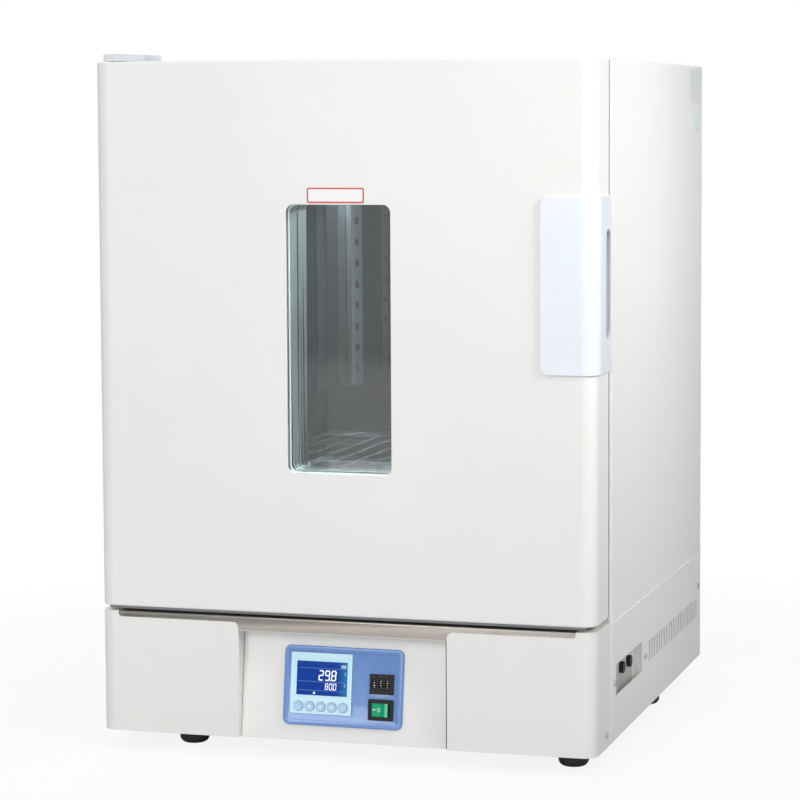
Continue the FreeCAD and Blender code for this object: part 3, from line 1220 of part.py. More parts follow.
def controller_unit():
    """Controller with its front in the bezel: pockets for the screen and for the keys."""
    face = FIELD_DEPTH - FIT
    body = box(CONTROLLER_LEFT + FIT, CONTROLLER_LEFT + CONTROLLER_WIDTH - FIT, face,
               CONTROLLER_DEPTH, CONTROLLER_BOTTOM + FIT,
               CONTROLLER_BOTTOM + CONTROLLER_HEIGHT - FIT)
    cuts = [box(SCREEN_LEFT, SCREEN_LEFT + SCREEN_WIDTH, face - EPS, face + SCREEN_THICKNESS,
                SCREEN_BOTTOM, SCREEN_BOTTOM + SCREEN_HEIGHT)]
    floor = face - KEY_PROUD + KEY_LENGTH + KEY_TRAVEL + KEY_CLEARANCE
    for x in key_places():
        cuts.append(rod(KEY_RADIUS + KEY_CLEARANCE, (x, face - EPS, KEY_S), (x, floor, KEY_S)))
    return on_panel(body.cut(cuts))


def lcd_screen():
    """Display pane flush in the face of the controller."""
    face = FIELD_DEPTH - FIT
    return on_panel(box(SCREEN_LEFT + 0.1, SCREEN_LEFT + SCREEN_WIDTH - 0.1, face,
                        face + SCREEN_THICKNESS, SCREEN_BOTTOM + 0.1,
                        SCREEN_BOTTOM + SCREEN_HEIGHT - 0.1))


def key(x):
    """Round key with a softened edge."""
    front = FIELD_DEPTH - FIT - KEY_PROUD
    cap = rod(KEY_RADIUS, (x, front, KEY_S), (x, front + KEY_LENGTH, KEY_S))
    rim = edges_where(cap, lambda b: b.YMax < front + 0.01 and b.XLength > 1)
    return on_panel(cap.makeFillet(0.5, rim))


def wheel_places():
    """X of each digit wheel on the panel."""
    return [WHEEL_FIRST_X + index * WHEEL_PITCH for index in range(WHEEL_COUNT)]


def pushwheel_housing():
    """Body of the three-digit switch, with a window, two tab slots and a room for each wheel."""
    face = FIELD_DEPTH - PUSHWHEEL_PROUD
    x0 = PUSHWHEEL_LEFT
    x1 = PUSHWHEEL_LEFT + PUSHWHEEL_WIDTH
    half = PUSHWHEEL_HEIGHT / 2
    flange = PUSHWHEEL_FLANGE
    front = box(x0, x1, face, FIELD_DEPTH, WHEEL_S - half, WHEEL_S + half)
    body = box(x0 + flange, x1 - flange, FIELD_DEPTH, PUSHWHEEL_BODY_DEPTH,
               WHEEL_S - half + flange, WHEEL_S + half - flange)
    housing = fused(front, body)
    cuts = []
    pins = []
    room = WHEEL_RADIUS + WHEEL_ROOM
    for x in wheel_places():
        gap = WHEEL_WIDTH / 2 + WHEEL_ROOM / 2
        cuts.append(rod(room, (x - gap, WHEEL_DEPTH, WHEEL_S), (x + gap, WHEEL_DEPTH, WHEEL_S)))
        cuts.append(box(x - DIGIT_WINDOW_WIDTH / 2, x + DIGIT_WINDOW_WIDTH / 2, face - EPS, 0,
                        WHEEL_S - DIGIT_WINDOW_HEIGHT / 2, WHEEL_S + DIGIT_WINDOW_HEIGHT / 2))
        for side in (-1, 1):
            s = WHEEL_S + side * TAB_OFFSET
            grow = TAB_CLEARANCE
            depth = face - TAB_PROUD + TAB_LENGTH + TAB_TRAVEL + grow
            cuts.append(box(x - TAB_WIDTH / 2 - grow, x + TAB_WIDTH / 2 + grow, face - EPS, depth,
                            s - TAB_HEIGHT / 2 - grow, s + TAB_HEIGHT / 2 + grow))
        pins.append(rod(WHEEL_PIN_RADIUS, (x - gap, WHEEL_DEPTH, WHEEL_S),
                        (x + gap, WHEEL_DEPTH, WHEEL_S)))
    return on_panel(fused(housing.cut(cuts), *pins))


def digit_wheel(x):
    """Ten-sided digit wheel with a bore for its pin."""
    corner = WHEEL_RADIUS
    ring = [(corner * sin(radians(18 + 36 * n)), corner * cos(radians(18 + 36 * n)))
            for n in range(10)]
    wheel = prism_x(polygon(ring), x - WHEEL_WIDTH / 2, x + WHEEL_WIDTH / 2)
    wheel.translate(Vector(0, WHEEL_DEPTH, WHEEL_S))
    bore = rod(WHEEL_BORE, (x - WHEEL_WIDTH, WHEEL_DEPTH, WHEEL_S),
               (x + WHEEL_WIDTH, WHEEL_DEPTH, WHEEL_S))
    return on_panel(wheel.cut(bore))


def tab(x, side):
    """Small push tab above or below a digit."""
    front = FIELD_DEPTH - PUSHWHEEL_PROUD - TAB_PROUD
    s = WHEEL_S + side * TAB_OFFSET
    block = box(x - TAB_WIDTH / 2, x + TAB_WIDTH / 2, front, front + TAB_LENGTH,
                s - TAB_HEIGHT / 2, s + TAB_HEIGHT / 2)
    return on_panel(block)


def rocker_centre():
    """Middle of the rocker switch on the panel, as (x, s)."""
    return ROCKER_LEFT + ROCKER_WIDTH / 2, ROCKER_BOTTOM + ROCKER_HEIGHT / 2


def rocker_housing():
    """Body of the mains switch, with the opening and the two bearings of the rocker."""
    x, s = rocker_centre()
    face = FIELD_DEPTH - ROCKER_PROUD
    half_x = ROCKER_WIDTH / 2
    half_s = ROCKER_HEIGHT / 2
    front = prism_y(rounded_face(x - half_x, x + half_x, s - half_s, s + half_s, (1.5,) * 4),
                    face, FIELD_DEPTH)
    flange = ROCKER_FLANGE
    body = box(x - half_x + flange, x + half_x - flange, FIELD_DEPTH, ROCKER_BODY_DEPTH,
               s - half_s + flange, s + half_s - flange)
    room_x = PADDLE_HALF_LENGTH + PADDLE_SIDE_CLEARANCE
    room_s = PADDLE_HALF_WIDTH + PADDLE_END_CLEARANCE
    room = box(x - room_x, x + room_x, face - EPS, PADDLE_PIVOT_DEPTH + PADDLE_ROOM_DEPTH,
               s - room_s, s + room_s)
    reach = PADDLE_HALF_WIDTH + PADDLE_PIVOT_REACH
    bearing = rod(PADDLE_PIVOT_RADIUS + PADDLE_PIVOT_CLEARANCE,
                  (x, PADDLE_PIVOT_DEPTH, s - reach - PADDLE_PIVOT_CLEARANCE),
                  (x, PADDLE_PIVOT_DEPTH, s + reach + PADDLE_PIVOT_CLEARANCE))
    return on_panel(fused(front, body).cut([room, bearing]))


def power_rocker():
    """Rocker with two sloping faces, shown with its left end pressed, which is on."""
    x, s = rocker_centre()
    outline = polygon([
        (-PADDLE_HALF_LENGTH, -PADDLE_END_HEIGHT), (0, -PADDLE_MIDDLE_HEIGHT),
        (PADDLE_HALF_LENGTH, -PADDLE_END_HEIGHT), (PADDLE_ROOT_HALF_LENGTH, PADDLE_ROOT_DEPTH),
        (-PADDLE_ROOT_HALF_LENGTH, PADDLE_ROOT_DEPTH),
    ])
    paddle = prism_z(outline, -PADDLE_HALF_WIDTH, PADDLE_HALF_WIDTH)
    reach = PADDLE_HALF_WIDTH + PADDLE_PIVOT_REACH
    pivot = rod(PADDLE_PIVOT_RADIUS, (0, 0, -reach), (0, 0, reach))
    rocker = fused(paddle, pivot)
    rocker.rotate(Vector(0, 0, 0), Vector(0, 0, 1), -ROCKER_THROW / 2)
    rocker.translate(Vector(x, PADDLE_PIVOT_DEPTH, s))
    return on_panel(rocker)


def window_outline(grow):
    """Outline of the window opening in (X, Z), grown on every side."""
    return rounded_face(WINDOW_LEFT - grow, WINDOW_RIGHT + grow, WINDOW_BOTTOM - grow,
                        WINDOW_TOP + grow, (WINDOW_RADIUS + grow,) * 4)


def door_skin():
    """Pressed front of the door with rounded corners, window, grip cut-out and pin holes."""
    outer = wrapped_prism(0, DOOR_BOTTOM_Z, DOOR_TOP_Z, DOOR_BACK_Y)
    rims = edges_where(outer, lambda b: b.ZLength < 0.01 and b.YMin < DOOR_BACK_Y - 0.01)
    outer = outer.makeFillet(DOOR_EDGE_RADIUS, rims)
    inner = wrapped_prism(SHEET, DOOR_BOTTOM_Z + SHEET, DOOR_TOP_Z - SHEET, DOOR_BACK_Y + EPS)
    skin = outer.cut(inner)
    window = prism_y(window_outline(0), FRONT_Y - EPS, FRONT_Y + SHEET + EPS)
    grip = box(HALF_WIDTH - FRONT_CORNER_RADIUS, HALF_WIDTH + EPS, POCKET_FRONT_Y - FIT,
               DOOR_BACK_Y + EPS, POCKET_Z - FIT, POCKET_TOP_Z + FIT)
    pins = rod(HINGE_PIN_RADIUS + 2 * FIT, (HINGE_X, HINGE_Y, DOOR_BOTTOM_Z - EPS),
               (HINGE_X, HINGE_Y, DOOR_TOP_Z + EPS))
    return skin.cut([window, grip, pins])


def plug_block(inset, y0, y1):
    """Raised middle of the door's inner panel."""
    corner = CHAMBER_CORNER_RADIUS
    return prism_y(rounded_face(inset - PLUG_HALF, PLUG_HALF - inset, PLUG_Z + inset,
                                PLUG_TOP_Z - inset, (corner,) * 4), y0, y1)


def liner_slot(y0, y1):
    """Slot for the latch arm through the back of the door."""
    return box(NOSE_X + NOSE_HOOK / 2, LEVER_PIVOT_X + LEVER_HUB_RADIUS + 2 * FIT, y0, y1,
               ARM_Z - DOOR_SLOT_MARGIN, ARM_Z + ARM_WIDTH + DOOR_SLOT_MARGIN)


def door_liner():
    """Inner panel of the door: flat back with a raised plug that enters the chamber."""
    plate = box(-INNER_HALF_WIDTH, INNER_HALF_WIDTH, DOOR_BACK_Y - SHEET, DOOR_BACK_Y,
                DOOR_BOTTOM_Z + SHEET, DOOR_TOP_Z - SHEET)
    plug = plug_block(0, DOOR_BACK_Y - SHEET, PLUG_FACE_Y)
    hollow = plug_block(SHEET, DOOR_BACK_Y - SHEET - EPS, PLUG_FACE_Y - SHEET)
    panel = fused(plate, plug).cut(hollow)
    window = prism_y(window_outline(0), DOOR_BACK_Y - 2 * EPS, PLUG_FACE_Y + EPS)
    slot = liner_slot(DOOR_BACK_Y - SHEET - EPS, DOOR_BACK_Y + EPS)
    return panel.cut([window, slot])


def door_insulation():
    """Mineral wool inside the door and its plug, cleared for the window, grip and hinges."""
    block = wrapped_prism(SHEET, DOOR_BOTTOM_Z + SHEET, DOOR_TOP_Z - SHEET, DOOR_BACK_Y - SHEET)
    plug = plug_block(SHEET, DOOR_BACK_Y - SHEET - EPS, PLUG_FACE_Y - SHEET)
    wool = fused(block, plug)
    window = prism_y(window_outline(TUNNEL_WALL), FRONT_Y, PLUG_FACE_Y)
    pocket = box(POCKET_INNER_X, HALF_WIDTH, POCKET_FRONT_Y, DOOR_BACK_Y, POCKET_Z, POCKET_TOP_Z)
    bushes = [rod(BUSH_RADIUS, (HINGE_X, HINGE_Y, z0), (HINGE_X, HINGE_Y, z1))
              for z0, z1 in bush_heights()]
    return wool.cut([window, pocket, *bushes])


def bush_heights():
    """Bottom and top of each hinge bush."""
    low = DOOR_BOTTOM_Z + SHEET
    high = DOOR_TOP_Z - SHEET
    return ((low, low + BUSH_LENGTH), (high - BUSH_LENGTH, high))


def hinge_bushes():
    """Bushes in the bottom and top of the door that turn on the hinge pins."""
    bushes = []
    for z0, z1 in bush_heights():
        bush = rod(BUSH_RADIUS, (HINGE_X, HINGE_Y, z0), (HINGE_X, HINGE_Y, z1))
        bore = rod(HINGE_PIN_RADIUS + FIT, (HINGE_X, HINGE_Y, z0 - EPS),
                   (HINGE_X, HINGE_Y, z1 + EPS))
        bushes.append(bush.cut(bore))
    return Part.makeCompound(bushes)


def door_gasket():
    """Silicone ring on the back of the door, rounded where it meets the front frame."""
    inner = GASKET_OFFSET
    outer = GASKET_OFFSET + GASKET_WIDTH
    corner = CHAMBER_CORNER_RADIUS
    rear = FRAME_FACE_Y - FIT
    ring = prism_y(
        rounded_face(-CHAMBER_HALF - outer, CHAMBER_HALF + outer, CHAMBER_Z - outer,
                     CHAMBER_TOP_Z + outer, (corner + outer,) * 4), DOOR_BACK_Y, rear)
    ring = ring.cut(prism_y(
        rounded_face(-CHAMBER_HALF - inner, CHAMBER_HALF + inner, CHAMBER_Z - inner,
                     CHAMBER_TOP_Z + inner, (corner + inner,) * 4), DOOR_BACK_Y - EPS, rear + EPS))
    crown = edges_where(ring, lambda b: b.YMin > rear - 0.01)
    return ring.makeFillet(GASKET_SQUEEZE_RADIUS, crown)


def window_tunnel():
    """Lining of the window, with a groove for the outer glass and a rebate for the inner."""
    front = FRONT_Y + SHEET
    rear = PLUG_FACE_Y - SHEET
    tunnel = prism_y(window_outline(TUNNEL_WALL), front, rear)
    bore = prism_y(window_outline(0), front - EPS, rear + EPS)
    groove_y = FRONT_Y + OUTER_GLASS_SETBACK
    groove = prism_y(window_outline(GLASS_GROOVE), groove_y, groove_y + GLASS_THICKNESS)
    rebate = prism_y(window_outline(GLASS_GROOVE), rear - GLASS_THICKNESS, rear + EPS)
    return tunnel.cut([bore, groove, rebate])


def window_glass():
    """Outer pane in its groove and inner pane against the inner panel."""
    edge = GLASS_GROOVE - FIT
    outer_y = FRONT_Y + OUTER_GLASS_SETBACK
    gap = (GLASS_THICKNESS - INNER_GLASS_THICKNESS) / 2
    inner_y = PLUG_FACE_Y - SHEET - GLASS_THICKNESS + gap
    outer = prism_y(window_outline(edge), outer_y + gap, outer_y + gap + INNER_GLASS_THICKNESS)
    inner = prism_y(window_outline(edge), inner_y, inner_y + INNER_GLASS_THICKNESS)
    return Part.makeCompound([outer, inner])


def grip_cavity():
    """Space in the handle that the fingers enter from the side."""
    wall = POCKET_WALL
    room = box(POCKET_INNER_X + wall, HALF_WIDTH, POCKET_FRONT_Y + wall,
               POCKET_REAR_Y - THIN_SHEET, POCKET_Z + wall, POCKET_TOP_Z - wall)
    low = HANDLE_BOTTOM + GRIP_BOTTOM_RISE
    rear = POCKET_REAR_Y - THIN_SHEET
    radius = (rear - GRIP_FRONT_Y) / 2 - 0.2
    mouth = rounded_face(GRIP_FRONT_Y, rear, low, low + GRIP_HEIGHT, (radius,) * 4)
    return room, prism_x(mouth, HALF_WIDTH - 2 * EPS, HALF_WIDTH + HANDLE_PROUD + EPS)


def handle_body():
    """Moulded handle that wraps the edge of the door, with its pocket set into the door."""
    proud = HANDLE_PROUD
    right = HALF_WIDTH + proud
    radius = FRONT_CORNER_RADIUS + proud
    rear = FRAME_FACE_Y - HANDLE_FRAME_GAP
    z0 = HANDLE_BOTTOM
    z1 = HANDLE_BOTTOM + HANDLE_HEIGHT
    outline = rounded_face(HANDLE_LEFT, right, FRONT_Y - proud, rear, (0, radius, 0, 0))
    cover = prism_z(outline, z0, z1)
    corner = HANDLE_CORNER_RADIUS
    face = rounded_face(HANDLE_LEFT, right, z0, z1, (corner, 0, 0, corner))
    cover = cover.common(prism_y(face, FRONT_Y - proud - EPS, rear + EPS))
    cover = cover.cut(wrapped_prism(0, z0 - EPS, z1 + EPS, DOOR_BACK_Y))
    cover = cover.cut(box(HANDLE_LEFT - EPS, HALF_WIDTH, DOOR_BACK_Y - EPS, rear + EPS,
                          z0 - EPS, z1 + EPS))
    front_rims = edges_where(cover, lambda b: b.YMax < FRONT_Y - proud + 0.01)
    cover = cover.makeFillet(1.2, front_rims)
    pocket = box(POCKET_INNER_X, HALF_WIDTH, POCKET_FRONT_Y, POCKET_REAR_Y, POCKET_Z, POCKET_TOP_Z)
    room, mouth = grip_cavity()
    arm_slot = liner_slot(POCKET_REAR_Y - 2 * EPS - THIN_SHEET, POCKET_REAR_Y + EPS)
    pin = rod(LEVER_PIN_RADIUS + LEVER_PIN_CLEARANCE,
              (LEVER_PIVOT_X, LEVER_PIVOT_Y, POCKET_Z - EPS),
              (LEVER_PIVOT_X, LEVER_PIVOT_Y, POCKET_TOP_Z + EPS))
    return fused(cover, pocket).cut([room, mouth, arm_slot, pin])


def latch_lever():
    """Finger plate on a vertical pin, with an arm whose nose reaches behind the keeper."""
    z0 = POCKET_Z + POCKET_WALL + FIT
    z1 = POCKET_TOP_Z - POCKET_WALL - FIT
    x, y = LEVER_PIVOT_X, LEVER_PIVOT_Y
    half = LEVER_THICKNESS / 2
    plate = box(x, x + LEVER_REACH, y - half, y + half, z0 + LEVER_END_CLEARANCE,
                z1 - LEVER_END_CLEARANCE)
    tip = edges_where(plate, lambda b: b.XMin > x + LEVER_REACH - 0.1 and b.ZLength > 5)
    plate = plate.makeFillet(1.2, tip)
    hub = rod(LEVER_HUB_RADIUS, (x, y, z0), (x, y, z1))
    pin = rod(LEVER_PIN_RADIUS, (x, y, POCKET_Z + FIT), (x, y, POCKET_TOP_Z - FIT))
    arm = polygon([
        (x - LEVER_HUB_RADIUS, y), (x + LEVER_HUB_RADIUS, y),
        (NOSE_X + ARM_THICKNESS, FRAME_FACE_Y - GASKET_GAP),
        (NOSE_X + ARM_THICKNESS, NOSE_TIP_Y - 1.5), (NOSE_X + ARM_THICKNESS - 2.5, NOSE_TIP_Y),
        (NOSE_X, NOSE_TIP_Y), (NOSE_X, FRAME_FACE_Y + SHEET + FIT),
        (NOSE_X + NOSE_HOOK, FRAME_FACE_Y + SHEET + FIT),
        (NOSE_X + NOSE_HOOK, FRAME_FACE_Y - GASKET_GAP),
    ])
    return fused(plate, hub, pin, prism_z(arm, ARM_Z, ARM_Z + ARM_WIDTH))


def hinge_arms():
    """Bottom arm on the base and top arm on the cabinet, each with its pin."""
    half = HINGE_ARM_WIDTH / 2
    thick = HINGE_ARM_THICKNESS
    nose = prism_z(polygon([
        (HINGE_X - half, HINGE_Y), (HINGE_X + half, HINGE_Y), (HINGE_X + half, FRAME_FACE_Y),
        (HINGE_X - half, FRAME_FACE_Y),
    ]), 0, thick)
    round_end = rod(half, (HINGE_X, HINGE_Y, 0), (HINGE_X, HINGE_Y, thick))
    low = fused(nose, round_end)
    low.translate(Vector(0, 0, DECK_Z))
    collar_top = DOOR_BOTTOM_Z - FIT
    collar = rod(BUSH_RADIUS, (HINGE_X, HINGE_Y, DECK_Z + thick), (HINGE_X, HINGE_Y, collar_top))
    low_pin = rod(HINGE_PIN_RADIUS, (HINGE_X, HINGE_Y, collar_top),
                  (HINGE_X, HINGE_Y, collar_top + HINGE_PIN_LENGTH))
    bottom_arm = fused(low, collar, low_pin)
    level = DOOR_TOP_Z + HINGE_ARM_GAP
    reach = box(HINGE_X - half, HINGE_X + half, HINGE_Y, HINGE_ARM_REAR_Y, level, level + thick)
    seat = box(HINGE_X - half, HINGE_X + half, FRAME_FACE_Y + FRAME_DEPTH, HINGE_ARM_REAR_Y,
               TOP_Z, level + thick)
    high_end = rod(half, (HINGE_X, HINGE_Y, level), (HINGE_X, HINGE_Y, level + thick))
    high_pin = rod(HINGE_PIN_RADIUS, (HINGE_X, HINGE_Y, level - HINGE_PIN_LENGTH),
                   (HINGE_X, HINGE_Y, level))
    top_arm = fused(reach, seat, high_end, high_pin)
    return Part.makeCompound([bottom_arm, top_arm])


def hinge_cap():
    """Moulded cover over the top hinge, narrow over the door and wider on the cabinet."""
    left = CAP_LEFT_X
    slope_end = CAP_FRONT_Y + CAP_SLOPE_LENGTH
    rear = CAP_FRONT_Y + CAP_LENGTH
    base = DOOR_TOP_Z + CAP_DOOR_GAP
    top = TOP_Z + CAP_HEIGHT
    outline = [
        (left, CAP_FRONT_Y), (left + CAP_FRONT_WIDTH, CAP_FRONT_Y),
        (left + CAP_REAR_WIDTH, slope_end), (left + CAP_REAR_WIDTH, rear), (left, rear),
    ]
    cap = prism_z(polygon(outline), base, top)
    foot = box(left, left + CAP_REAR_WIDTH, CASE_FRONT_Y, rear, TOP_Z, base)
    cap = fused(cap, foot)
    uprights = edges_where(cap, lambda b: b.ZLength > CAP_HEIGHT * 0.5 and b.XLength < 0.01
                           and b.YLength < 0.01 and b.YMin < FRAME_FACE_Y)
    cap = cap.makeFillet(2.5, uprights)
    crown = edges_where(cap, lambda b: b.ZMin > top - 0.01)
    cap = cap.makeFillet(1.2, crown)
    wall = CAP_WALL
    hollow = prism_z(polygon([
        (left + wall, CAP_FRONT_Y + wall), (left + CAP_FRONT_WIDTH - wall, CAP_FRONT_Y + wall),
        (left + CAP_REAR_WIDTH - wall, slope_end), (left + CAP_REAR_WIDTH - wall, rear - wall),
        (left + wall, rear - wall),
    ]), TOP_Z - EPS, top - wall)
    return cap.cut(hollow)


def cable_gland():
    """Gland in the rear cover, with a hexagonal nut outside."""
    ring = [(GLAND_X + GLAND_RADIUS * cos(radians(60 * n)), GLAND_Z + GLAND_RADIUS * sin(radians(60 * n)))
            for n in range(6)]
    nut = prism_y(polygon(ring), REAR_Y, REAR_Y + GLAND_LENGTH * 0.5)
    dome = rod(GLAND_THREAD_RADIUS + 1.5, (GLAND_X, REAR_Y + GLAND_LENGTH * 0.5, GLAND_Z),
               (GLAND_X, REAR_Y + GLAND_LENGTH, GLAND_Z))
    end_y = REAR_Y + GLAND_LENGTH
    dome = dome.makeFillet(2.5, edges_where(dome, lambda b: b.YMin > end_y - 0.01 and b.XLength > 1))
    thread = rod(GLAND_THREAD_RADIUS, (GLAND_X, REAR_SHEET_Y - GLAND_TAIL, GLAND_Z),
                 (GLAND_X, REAR_Y, GLAND_Z))
    bore = rod(GLAND_BORE_RADIUS, (GLAND_X, REAR_SHEET_Y - GLAND_TAIL - EPS, GLAND_Z),
               (GLAND_X, end_y + EPS, GLAND_Z))
    return fused(nut, dome, thread).cut(bore)


def panel_screws():
    """Screws that hold the sheets of the base and the rear cover."""
    places = FASCIA_SCREWS + SIDE_SCREWS + REAR_SCREWS + (PAN_SCREW,)
    screws = [screw(*place) for place in places]
    screws += [mirrored(screw(*place)) for place in SIDE_SCREWS]
    return Part.makeCompound(screws)


def all_pieces():
    """Every piece by its node name."""
    pieces = {
        "outer_case": outer_case(),
        "front_frame": front_frame(),
        "latch_keeper": latch_keeper(),
        "rear_cover": rear_cover(),
        "chamber_liner": chamber_liner(),
        "cabinet_insulation": cabinet_insulation(),
        "back_baffle": back_baffle(),
        "side_ducts": Part.makeCompound([side_duct_right(), mirrored(side_duct_right())]),
        "shelf_hooks": shelf_hooks(),
        "floor_plate": floor_plate(),
        "heater_elements": heater_elements(),
        "temperature_sensor": temperature_sensor(),
        "fan_motor": fan_motor(),
        "exhaust_port": exhaust_port(),
        "base_fascia": base_fascia(),
        "base_side_left": base_side_left(),
        "base_side_right": base_side_right(),
        "base_tray": base_tray(),
        "side_recess_pan": side_recess_pan(),
        "fuse_holders": fuse_holders(),
        "deck_plate": deck_plate(),
        "control_panel": control_panel(),
        "panel_bezel": panel_bezel(),
        "controller_unit": controller_unit(),
        "lcd_screen": lcd_screen(),
        "pushwheel_housing": pushwheel_housing(),
        "rocker_housing": rocker_housing(),
        "rubber_feet": rubber_feet(),
        "hinge_arms": hinge_arms(),
        "hinge_cap": hinge_cap(),
        "cable_gland": cable_gland(),
        "panel_screws": panel_screws(),
        "door_skin": door_skin(),
        "door_liner": door_liner(),
        "door_insulation": door_insulation(),
        "door_gasket": door_gasket(),
        "window_tunnel": window_tunnel(),
        "window_glass": window_glass(),
        "handle_body": handle_body(),
        "hinge_bushes": hinge_bushes(),
        "latch_lever": latch_lever(),
        "fan_wheel": fan_wheel(),
        "exhaust_damper": exhaust_damper(),
        "shelf_upper": shelf_upper(),
        "shelf_lower": shelf_lower(),
        "power_rocker": power_rocker(),
    }
    for index, x in enumerate(key_places(), 1):
        pieces[f"key_{index}"] = key(x)
    for index, x in enumerate(wheel_places(), 1):
        pieces[f"digit_wheel_{index}"] = digit_wheel(x)
        pieces[f"plus_tab_{index}"] = tab(x, 1)
        pieces[f"minus_tab_{index}"] = tab(x, -1)
    return pieces


def export(name, shape):
    """Write one node, as a single solid or as a group of separate solids."""
    solids = shape.Solids
    whole = solids[0] if len(solids) == 1 else Part.makeCompound(solids)
    whole.exportStep(f"parts/{name}.step")
    print(name, len(solids), "solid(s)", round(whole.Volume / 1000, 2), "cm3",
          "valid" if whole.isValid() else "NOT VALID")


os.makedirs("parts", exist_ok=True)
for node, piece in all_pieces().items():
    export(node, piece)
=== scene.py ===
"""Finishes, marks, small fittings and studio for a forced-air drying oven."""

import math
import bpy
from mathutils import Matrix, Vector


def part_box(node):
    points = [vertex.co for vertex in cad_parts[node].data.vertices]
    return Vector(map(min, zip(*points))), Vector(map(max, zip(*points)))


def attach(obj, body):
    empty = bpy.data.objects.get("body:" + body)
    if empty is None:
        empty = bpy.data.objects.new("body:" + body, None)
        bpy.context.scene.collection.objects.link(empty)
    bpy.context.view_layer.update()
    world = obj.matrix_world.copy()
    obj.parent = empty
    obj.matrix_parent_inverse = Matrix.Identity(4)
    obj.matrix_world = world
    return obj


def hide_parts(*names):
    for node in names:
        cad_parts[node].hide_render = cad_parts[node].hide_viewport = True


bl_info = {
    "name": "Drying oven",
    "version": (1, 0, 0),
    "blender": (4, 5, 0),
    "location": "View3D > Sidebar > Oven",
    "description": "Finishes, panel marks, fittings and studio for a forced-air drying oven",
    "category": "Object",
}

import bmesh
import bpy
from bpy.props import FloatProperty, FloatVectorProperty, PointerProperty, StringProperty
from bpy.types import Operator, Panel, PropertyGroup
from mathutils import Matrix, Vector

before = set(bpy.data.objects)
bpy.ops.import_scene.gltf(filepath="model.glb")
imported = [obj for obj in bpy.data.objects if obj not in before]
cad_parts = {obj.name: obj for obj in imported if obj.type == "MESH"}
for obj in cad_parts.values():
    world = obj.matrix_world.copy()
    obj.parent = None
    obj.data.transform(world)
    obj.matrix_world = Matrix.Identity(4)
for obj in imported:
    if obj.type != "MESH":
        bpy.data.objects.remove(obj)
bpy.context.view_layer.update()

# The slanted control panel: a local frame of (x, depth, slope), as on a drawing of the panel
PANEL_TILT = math.radians(8.0)
PANEL_FOOT = Vector((0.0, -0.3235, 0.022))
PANEL = Matrix.Translation(PANEL_FOOT) @ Matrix.Rotation(-PANEL_TILT, 4, "X")
CONTROLLER_FACE = -0.0033
SCREEN = (-0.0614, 0.0026, 0.0546, 0.0956)

# Left end and foot of each line of figures, the heat mark, and the lines ruled between them
LARGE_PLACE = (-0.0340, 0.0727)
SMALL_PLACE = (-0.0255, 0.0618)
COUNT_PLACE = (-0.0055, 0.0885)
LARGE_UNIT_PLACE = (-0.0006, 0.0802)
SMALL_UNIT_PLACE = (-0.0010, 0.0665)
HEAT_MARK_PLACE = (-0.0388, -0.0001, 0.0575)
RULE_SLOPES = (0.0870, 0.0710, 0.0603)
RULE_ENDS = (-0.0590, 0.0010)
RULE_WIDTH = 0.0003

# Keys, digit wheels with their tabs, and the rocker
KEY_FACE = -0.0041
KEY_SLOPE = 0.0413
KEY_XS = (-0.0579, -0.0439, -0.0299, -0.0159, -0.0019)
KEY_RADIUS = 0.0059
KEY_LENGTH = 0.0030
KEY_FLAT = 0.0053
ARROW_TURNS = {2: -math.pi / 2, 3: math.pi, 4: 0.0}
WHEEL_XS = (0.0368, 0.0450, 0.0532)
WHEEL_SLOPE = 0.072
WHEEL_AXLE_DEPTH = 0.0074
WHEEL_FLAT = 0.00856
NUMERAL_SHIFT = 0.0010
NUMERAL_HEIGHT = 0.0038
SHOWN_DIGITS = (2, 3, 9)
TAB_FACE = -0.0053
TAB_RISE = 0.0089
TAB_MARK = (0.0008, 0.00006, 0.00013)
ROCKER_MIDDLE = (0.04575, 0.0415)

# How far the trim's front lip reaches below and in front of the deck plate
LIP_DROP = 0.0015
LIP_PROUD = 0.0003

# Opposite corners of the dark strip of painted shadow in the seam beside the panel, of the folded edges up
# the front of the right side and along the top of its base, and of the strip under the door
SEAM_LOW = (0.1292, -0.3303, 0.024)
SEAM_HIGH = (0.1301, -0.3240, 0.1535)
EDGE_LOW = (0.3090, -0.2470, 0.0225)
EDGE_HIGH = (0.3112, -0.2450, 0.8350)
STEP_LOW = (0.3090, -0.2450, 0.1655)
STEP_HIGH = (0.3112, 0.3290, 0.1675)
DOOR_STRIP_LOW = (-0.298, -0.3265, 0.1725)
DOOR_STRIP_HIGH = (0.298, -0.3235, 0.1765)

# Slots of the side ducts
DUCT_FACE = 0.200
SLOT_SPANS = ((-0.1045, -0.0885), (0.0340, 0.0520))
SLOT_ROWS = 11
SLOT_PITCH = 0.0305
SLOT_FOOT = 0.022
SLOT_HEIGHT = 0.010

# Cross-head screws
SCREW_RADIUS = 0.0036
SCREW_HEAD = 0.0022
SCREW_SHANK = 0.006
CROSS_REACH = 0.0019
CROSS_HALF = 0.00035

# Bare plate above the window; round mark and bare plate on the side, as distance back and height
PLATE_X = (-0.0390, 0.0315)
PLATE_Z = (0.6685, 0.6865)
PLATE_THICKNESS = 0.00035
PLATE_BORDER = 0.0017
PLATE_CORNER = 0.0022
DOT_RADIUS = 0.0125
DOT_PLACE = (0.297, 0.759)
SIDE_PLATE_LOW = (0.236, 0.786)
SIDE_PLATE_HIGH = (0.316, 0.831)

# Pale surroundings as the oven sees them
SKY_COLOUR = (0.94, 0.97, 1.0, 1.0)

# The lining of the window and the beads that hold its two panes
TUNNEL_WALL = 0.004
BEAD_WIDTH = 0.0008
BEAD_CORNER = 0.010
BEAD_SPAN = (-0.3182, -0.3160)


def display_colour(red, green, blue):
    """Scene-linear colour of an 8-bit display colour."""
    def linear(value):
        value = value / 255
        return value / 12.92 if value <= 0.04045 else ((value + 0.055) / 1.055) ** 2.4
    return linear(red), linear(green), linear(blue)


